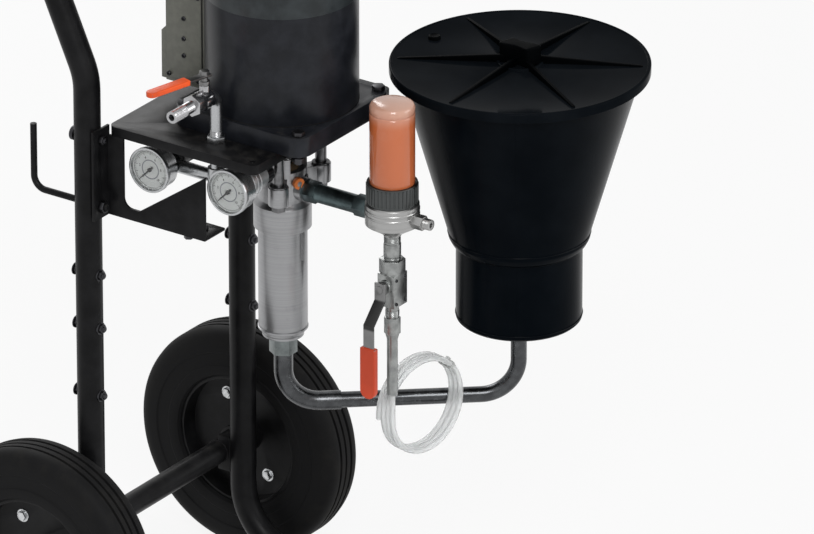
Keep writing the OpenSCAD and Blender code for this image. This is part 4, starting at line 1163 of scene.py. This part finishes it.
def filter_trim():
    """Grip ridges round the ring nut, two raised rings round the manifold and the outlet's thread."""
    ridges = []
    low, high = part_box("ring_nut")
    for step in range(RIDGES):
        out = heading(360 * step / RIDGES) * RIDGE_CIRCLE * MM
        ridge = prism("ridge", 12, 1.15, 24, above(FILTER, 786) + out)
        ridges.append(ridge)
        for vertex in ridge.data.vertices:
            vertex.co.z = low.z + 3 * MM if vertex.co.z < 798 * MM else high.z - 2.5 * MM
    assemble("ring_ridges", ridges, "ring_grey", 50)
    rings = [thread("outlet_thread", at(0, -466, 755), -Y_AXIS, 8, 10.5)]
    for z in (756, 764):
        rings.append(turned("ring", band(39.9, 40.7, z, z + 4, 1), FILTER_CENTRE, Z_AXIS, 96))
    assemble("manifold_rings", rings, "manifold_silver", 40)


def bleed_trim():
    """Threads above the bleed valve and at the tube's fitting, and four screws on each of its faces."""
    parts = [thread("thread", above(FILTER, z), Z_AXIS, radius, length)
             for z, radius, length in ((686, 12.1, 3), (713, 12.1, 7.5), (594, 10.1, 9))]
    assemble("bleed_threads", parts, "bleed_steel", 40)
    screws = [socket_screw(at(x, FILTER_Y + face * 15, z), Y_AXIS * face, 2.6, 1.6)
              for face in (-1, 1) for x in (-11, 11) for z in (618, 656)]
    assemble("bleed_screws", screws, "dark_fastener", 40)


def sleeve(name, size, start, along, across, finish, node):
    """A soft sleeve pushed over a lever's end: square at its mouth and round at its tip."""
    length, width, thick = size
    half = width / 2
    outline = [(0, half - 2), (0, 2 - half), (0.6, 0.6 - half), (2, -half)]
    for step in range(13):
        turn = math.radians(step * 15 - 90)
        outline.append((length - half + half * math.cos(turn), half * math.sin(turn)))
    outline += [(2, half), (0.6, half - 0.6)]
    piece = plate(name, outline, thick, start, along, across)
    piece = smooth(ease(piece, thick * 0.3 * MM, 4, 40), 50)
    hand_in(piece, "lever_orange", frame["nodes"][node]["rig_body"], finish)


filter_trim()
bleed_trim()
sleeve("bleed_sleeve", (81.2, 26, 10), at(-60, FILTER_Y, 563.6), -Z_AXIS, Y_AXIS, SLEEVE_RED, "bleed_lever")
AIR_LEVER_WAY = heading(166.5)
sleeve("air_sleeve", (76, 17, 8), at(-158, -187, 977.5) + AIR_LEVER_WAY * 32.5 * MM, AIR_LEVER_WAY,
       Z_AXIS.cross(AIR_LEVER_WAY), SLEEVE_ORANGE, "air_lever")

# ---------- air set ----------

DIAL_RADIUS = 31.3
NEEDLE_HOLE = 1.3
STROKE_END = 28.4
STROKE_PROUD = 0.62
# A stroke's inner radius and half its width.
LONG_STROKE = (23.2, 0.36)
SHORT_STROKE = (25.4, 0.2)
NUMBER_CIRCLE = 19
SWEEP_START = 225
SWEEP = 270
DIAL_STEPS = 50


def dial_place(centre, radius, angle, proud):
    """A point on a dial: the angle is counted from its right, and proud is how far it stands off."""
    turn = math.radians(angle)
    return centre + Vector((-proud, -radius * math.cos(turn), radius * math.sin(turn))) * MM


def dial_marks(centre):
    """The scale's strokes, and its numbers from 0 to 10."""
    strokes = []
    foot = centre - X_AXIS * STROKE_PROUD * MM
    for step in range(DIAL_STEPS + 1):
        angle = SWEEP_START - SWEEP * step / DIAL_STEPS
        inner, half = SHORT_STROKE if step % 5 else LONG_STROKE
        stroke = block("stroke", Vector((-0.15, inner, -half)) * MM, Vector((0.15, STROKE_END, half)) * MM)
        stroke.data.transform(Matrix.Translation(foot) @ Matrix.Rotation(math.radians(180 - angle), 4, "X"))
        strokes.append(stroke)
        if step % 10 == 0:
            strokes.append(number(str(step // 5), dial_place(centre, NUMBER_CIRCLE, angle, STROKE_PROUD)))
    strokes.append(turned("rail", band(STROKE_END, STROKE_END + 0.4, -0.15, 0.15), foot, -X_AXIS, 72))
    return strokes


def number(words, centre):
    """A small number that faces -X."""
    clear_selection()
    bpy.ops.object.text_add()
    text = bpy.context.object
    text.data.body = words
    text.data.size = 5.6 * MM
    text.data.extrude = 0.14 * MM
    text.data.align_x = "CENTER"
    text.data.align_y = "CENTER"
    text.data.resolution_u = 3
    bpy.ops.object.convert(target="MESH")
    text = bpy.context.object
    text.data.transform(Matrix.Translation(centre) @ Matrix.Rotation(math.radians(-90), 4, "Z")
                        @ Matrix.Rotation(math.radians(90), 4, "X"))
    return mend(text)


def gauge(index, centre):
    """A gauge's dial, its scale and its glass."""
    seat = centre + X_AXIS * 6 * MM
    dial = turned("gauge_dial", band(NEEDLE_HOLE, DIAL_RADIUS, 0, 0.5), seat, -X_AXIS, 72)
    hand_in(smooth(dial, 30), "gauge_silver", finish=DIAL_WHITE, name="gauge_dial_%d" % index)
    inner = turned("inner", band(13.6, 15.4, 0.45, 0.66), seat, -X_AXIS, 64)
    hand_in(smooth(inner, 30), "gauge_silver", finish=DIAL_GREY, name="gauge_inner_scale_%d" % index)
    hand_in(joined("gauge_marks_%d" % index, dial_marks(seat)), "gauge_silver", finish=DIAL_BLACK)
    glass = turned("gauge_glass", [(0, 0.35), (31.35, 0.35), (31.35, 1.3), (30.8, 1.7), (0, 1.8)],
                   centre + X_AXIS * 2 * MM, -X_AXIS, 72)
    hand_in(smooth(glass, 30), "gauge_silver", finish=GLASS, name="gauge_glass_%d" % index)
    seam = turned("gauge_seam", [(34.6, 0), (35, 0), (35, 0.9), (34.6, 0.9)], seat, X_AXIS, 72)
    lock = hexagon("lock", 30, 5, centre + X_AXIS * 27.6 * MM, X_AXIS)
    assemble("gauge_lock_%d" % index, [seam, lock], "gauge_silver")


def regulator_trim():
    """Four screws on the shoulder of each regulator's spring chamber, and the ribs round it."""
    for finish, centre in (("regulator_black", GAUGES[1]), ("regulator_silver", GAUGES[2])):
        parts = [socket_screw(dial_place(centre, 21.2, angle, -62), X_AXIS, 1.7, 1.4)
                 for angle in (45, 135, 225, 315)]
        parts += [turned("rib", band(22.9, 23.6, 0, 2.6, 0.6), centre + X_AXIS * along * MM, X_AXIS, 64)
                  for along in (40, 48, 56)]
        assemble(finish + "_ribs", parts, finish)


def air_threads():
    """Threads on the air inlet's nipple and on the riser."""
    parts = [thread("thread", at(-240, -187, 940), X_AXIS, 9, 30),
             thread("thread", at(-130, -187, 872.5), Z_AXIS, 9, 9)]
    assemble("air_threads", parts, "air_valve_nickel", 40)


for gauge_index, gauge_centre in GAUGES.items():
    gauge(gauge_index, gauge_centre)
regulator_trim()
air_threads()

# ---------- floor and light ----------

WORLD_LIGHT = 0.5
FLOOR_SIZE = 40
FLOOR_GREY = 0.82
FLOOR_WHITENING = 0.88


def seen_directly(tree):
    """1 for camera, glossy and transmission rays, which show the pale surroundings, and 0 for the rest."""
    path = tree.nodes.new("ShaderNodeLightPath")
    total = path.outputs["Is Camera Ray"]
    for name in ("Is Glossy Ray", "Is Transmission Ray"):
        most = tree.nodes.new("ShaderNodeMath")
        most.operation = "MAXIMUM"
        tree.links.new(total, most.inputs[0])
        tree.links.new(path.outputs[name], most.inputs[1])
        total = most.outputs[0]
    return total


def shader(tree, kind, socket, value):
    """A shader node with one socket set."""
    made = tree.nodes.new(kind)
    made.inputs[socket].default_value = value
    return made.outputs[0]


def end_in_mix(tree, share, first, second, end):
    """Ends a tree in a mix of two shaders."""
    mix = tree.nodes.new("ShaderNodeMixShader")
    for index, source in enumerate((share, first, second)):
        tree.links.new(source, mix.inputs[index])
    tree.links.new(mix.outputs[0], tree.nodes.new(end).inputs[0])


def light_world():
    world = bpy.data.worlds.new("studio")
    bpy.context.scene.world = world
    tree = bare_tree(world)
    lighting = shader(tree, "ShaderNodeBackground", "Strength", WORLD_LIGHT)
    shown = shader(tree, "ShaderNodeBackground", "Strength", 1)
    end_in_mix(tree, seen_directly(tree), lighting, shown, "ShaderNodeOutputWorld")


def lay_floor():
    clear_selection()
    bpy.ops.mesh.primitive_plane_add(size=FLOOR_SIZE, location=(0, 0, 0))
    floor = bpy.context.object
    floor.name = "floor"
    material = bpy.data.materials.new("pale_floor")
    tree = bare_tree(material)
    matt = shader(tree, "ShaderNodeBsdfDiffuse", "Color", (FLOOR_GREY, FLOOR_GREY, FLOOR_GREY, 1))
    white = shader(tree, "ShaderNodeEmission", "Strength", 1)
    share = tree.nodes.new("ShaderNodeMath")
    share.operation = "MULTIPLY"
    share.inputs[1].default_value = FLOOR_WHITENING
    tree.links.new(seen_directly(tree), share.inputs[0])
    end_in_mix(tree, share.outputs[0], matt, white, "ShaderNodeOutputMaterial")
    floor.data.materials.append(material)


def soft_box(name, place, size, share):
    """A square lamp whose light on a surface that faces it is a share of full daylight."""
    lamp = bpy.data.lights.new(name, "AREA")
    lamp.size = size
    way = VIEW_MIDDLE - Vector(place)
    lamp.energy = share * math.pi * math.pi * way.length_squared
    holder = bpy.data.objects.new(name, lamp)
    holder.location = place
    holder.rotation_euler = way.to_track_quat("-Z", "Y").to_euler()
    bpy.context.scene.collection.objects.link(holder)


light_world()
lay_floor()
soft_box("key", (-2.6, -2.4, 3.6), 1.6, 0.42)
soft_box("fill", (1.6, -3.4, 1.8), 2.0, 0.2)
soft_box("rim", (1.8, 2.6, 2.6), 1.6, 0.25)
bpy.context.scene.view_settings.view_transform = "Standard"
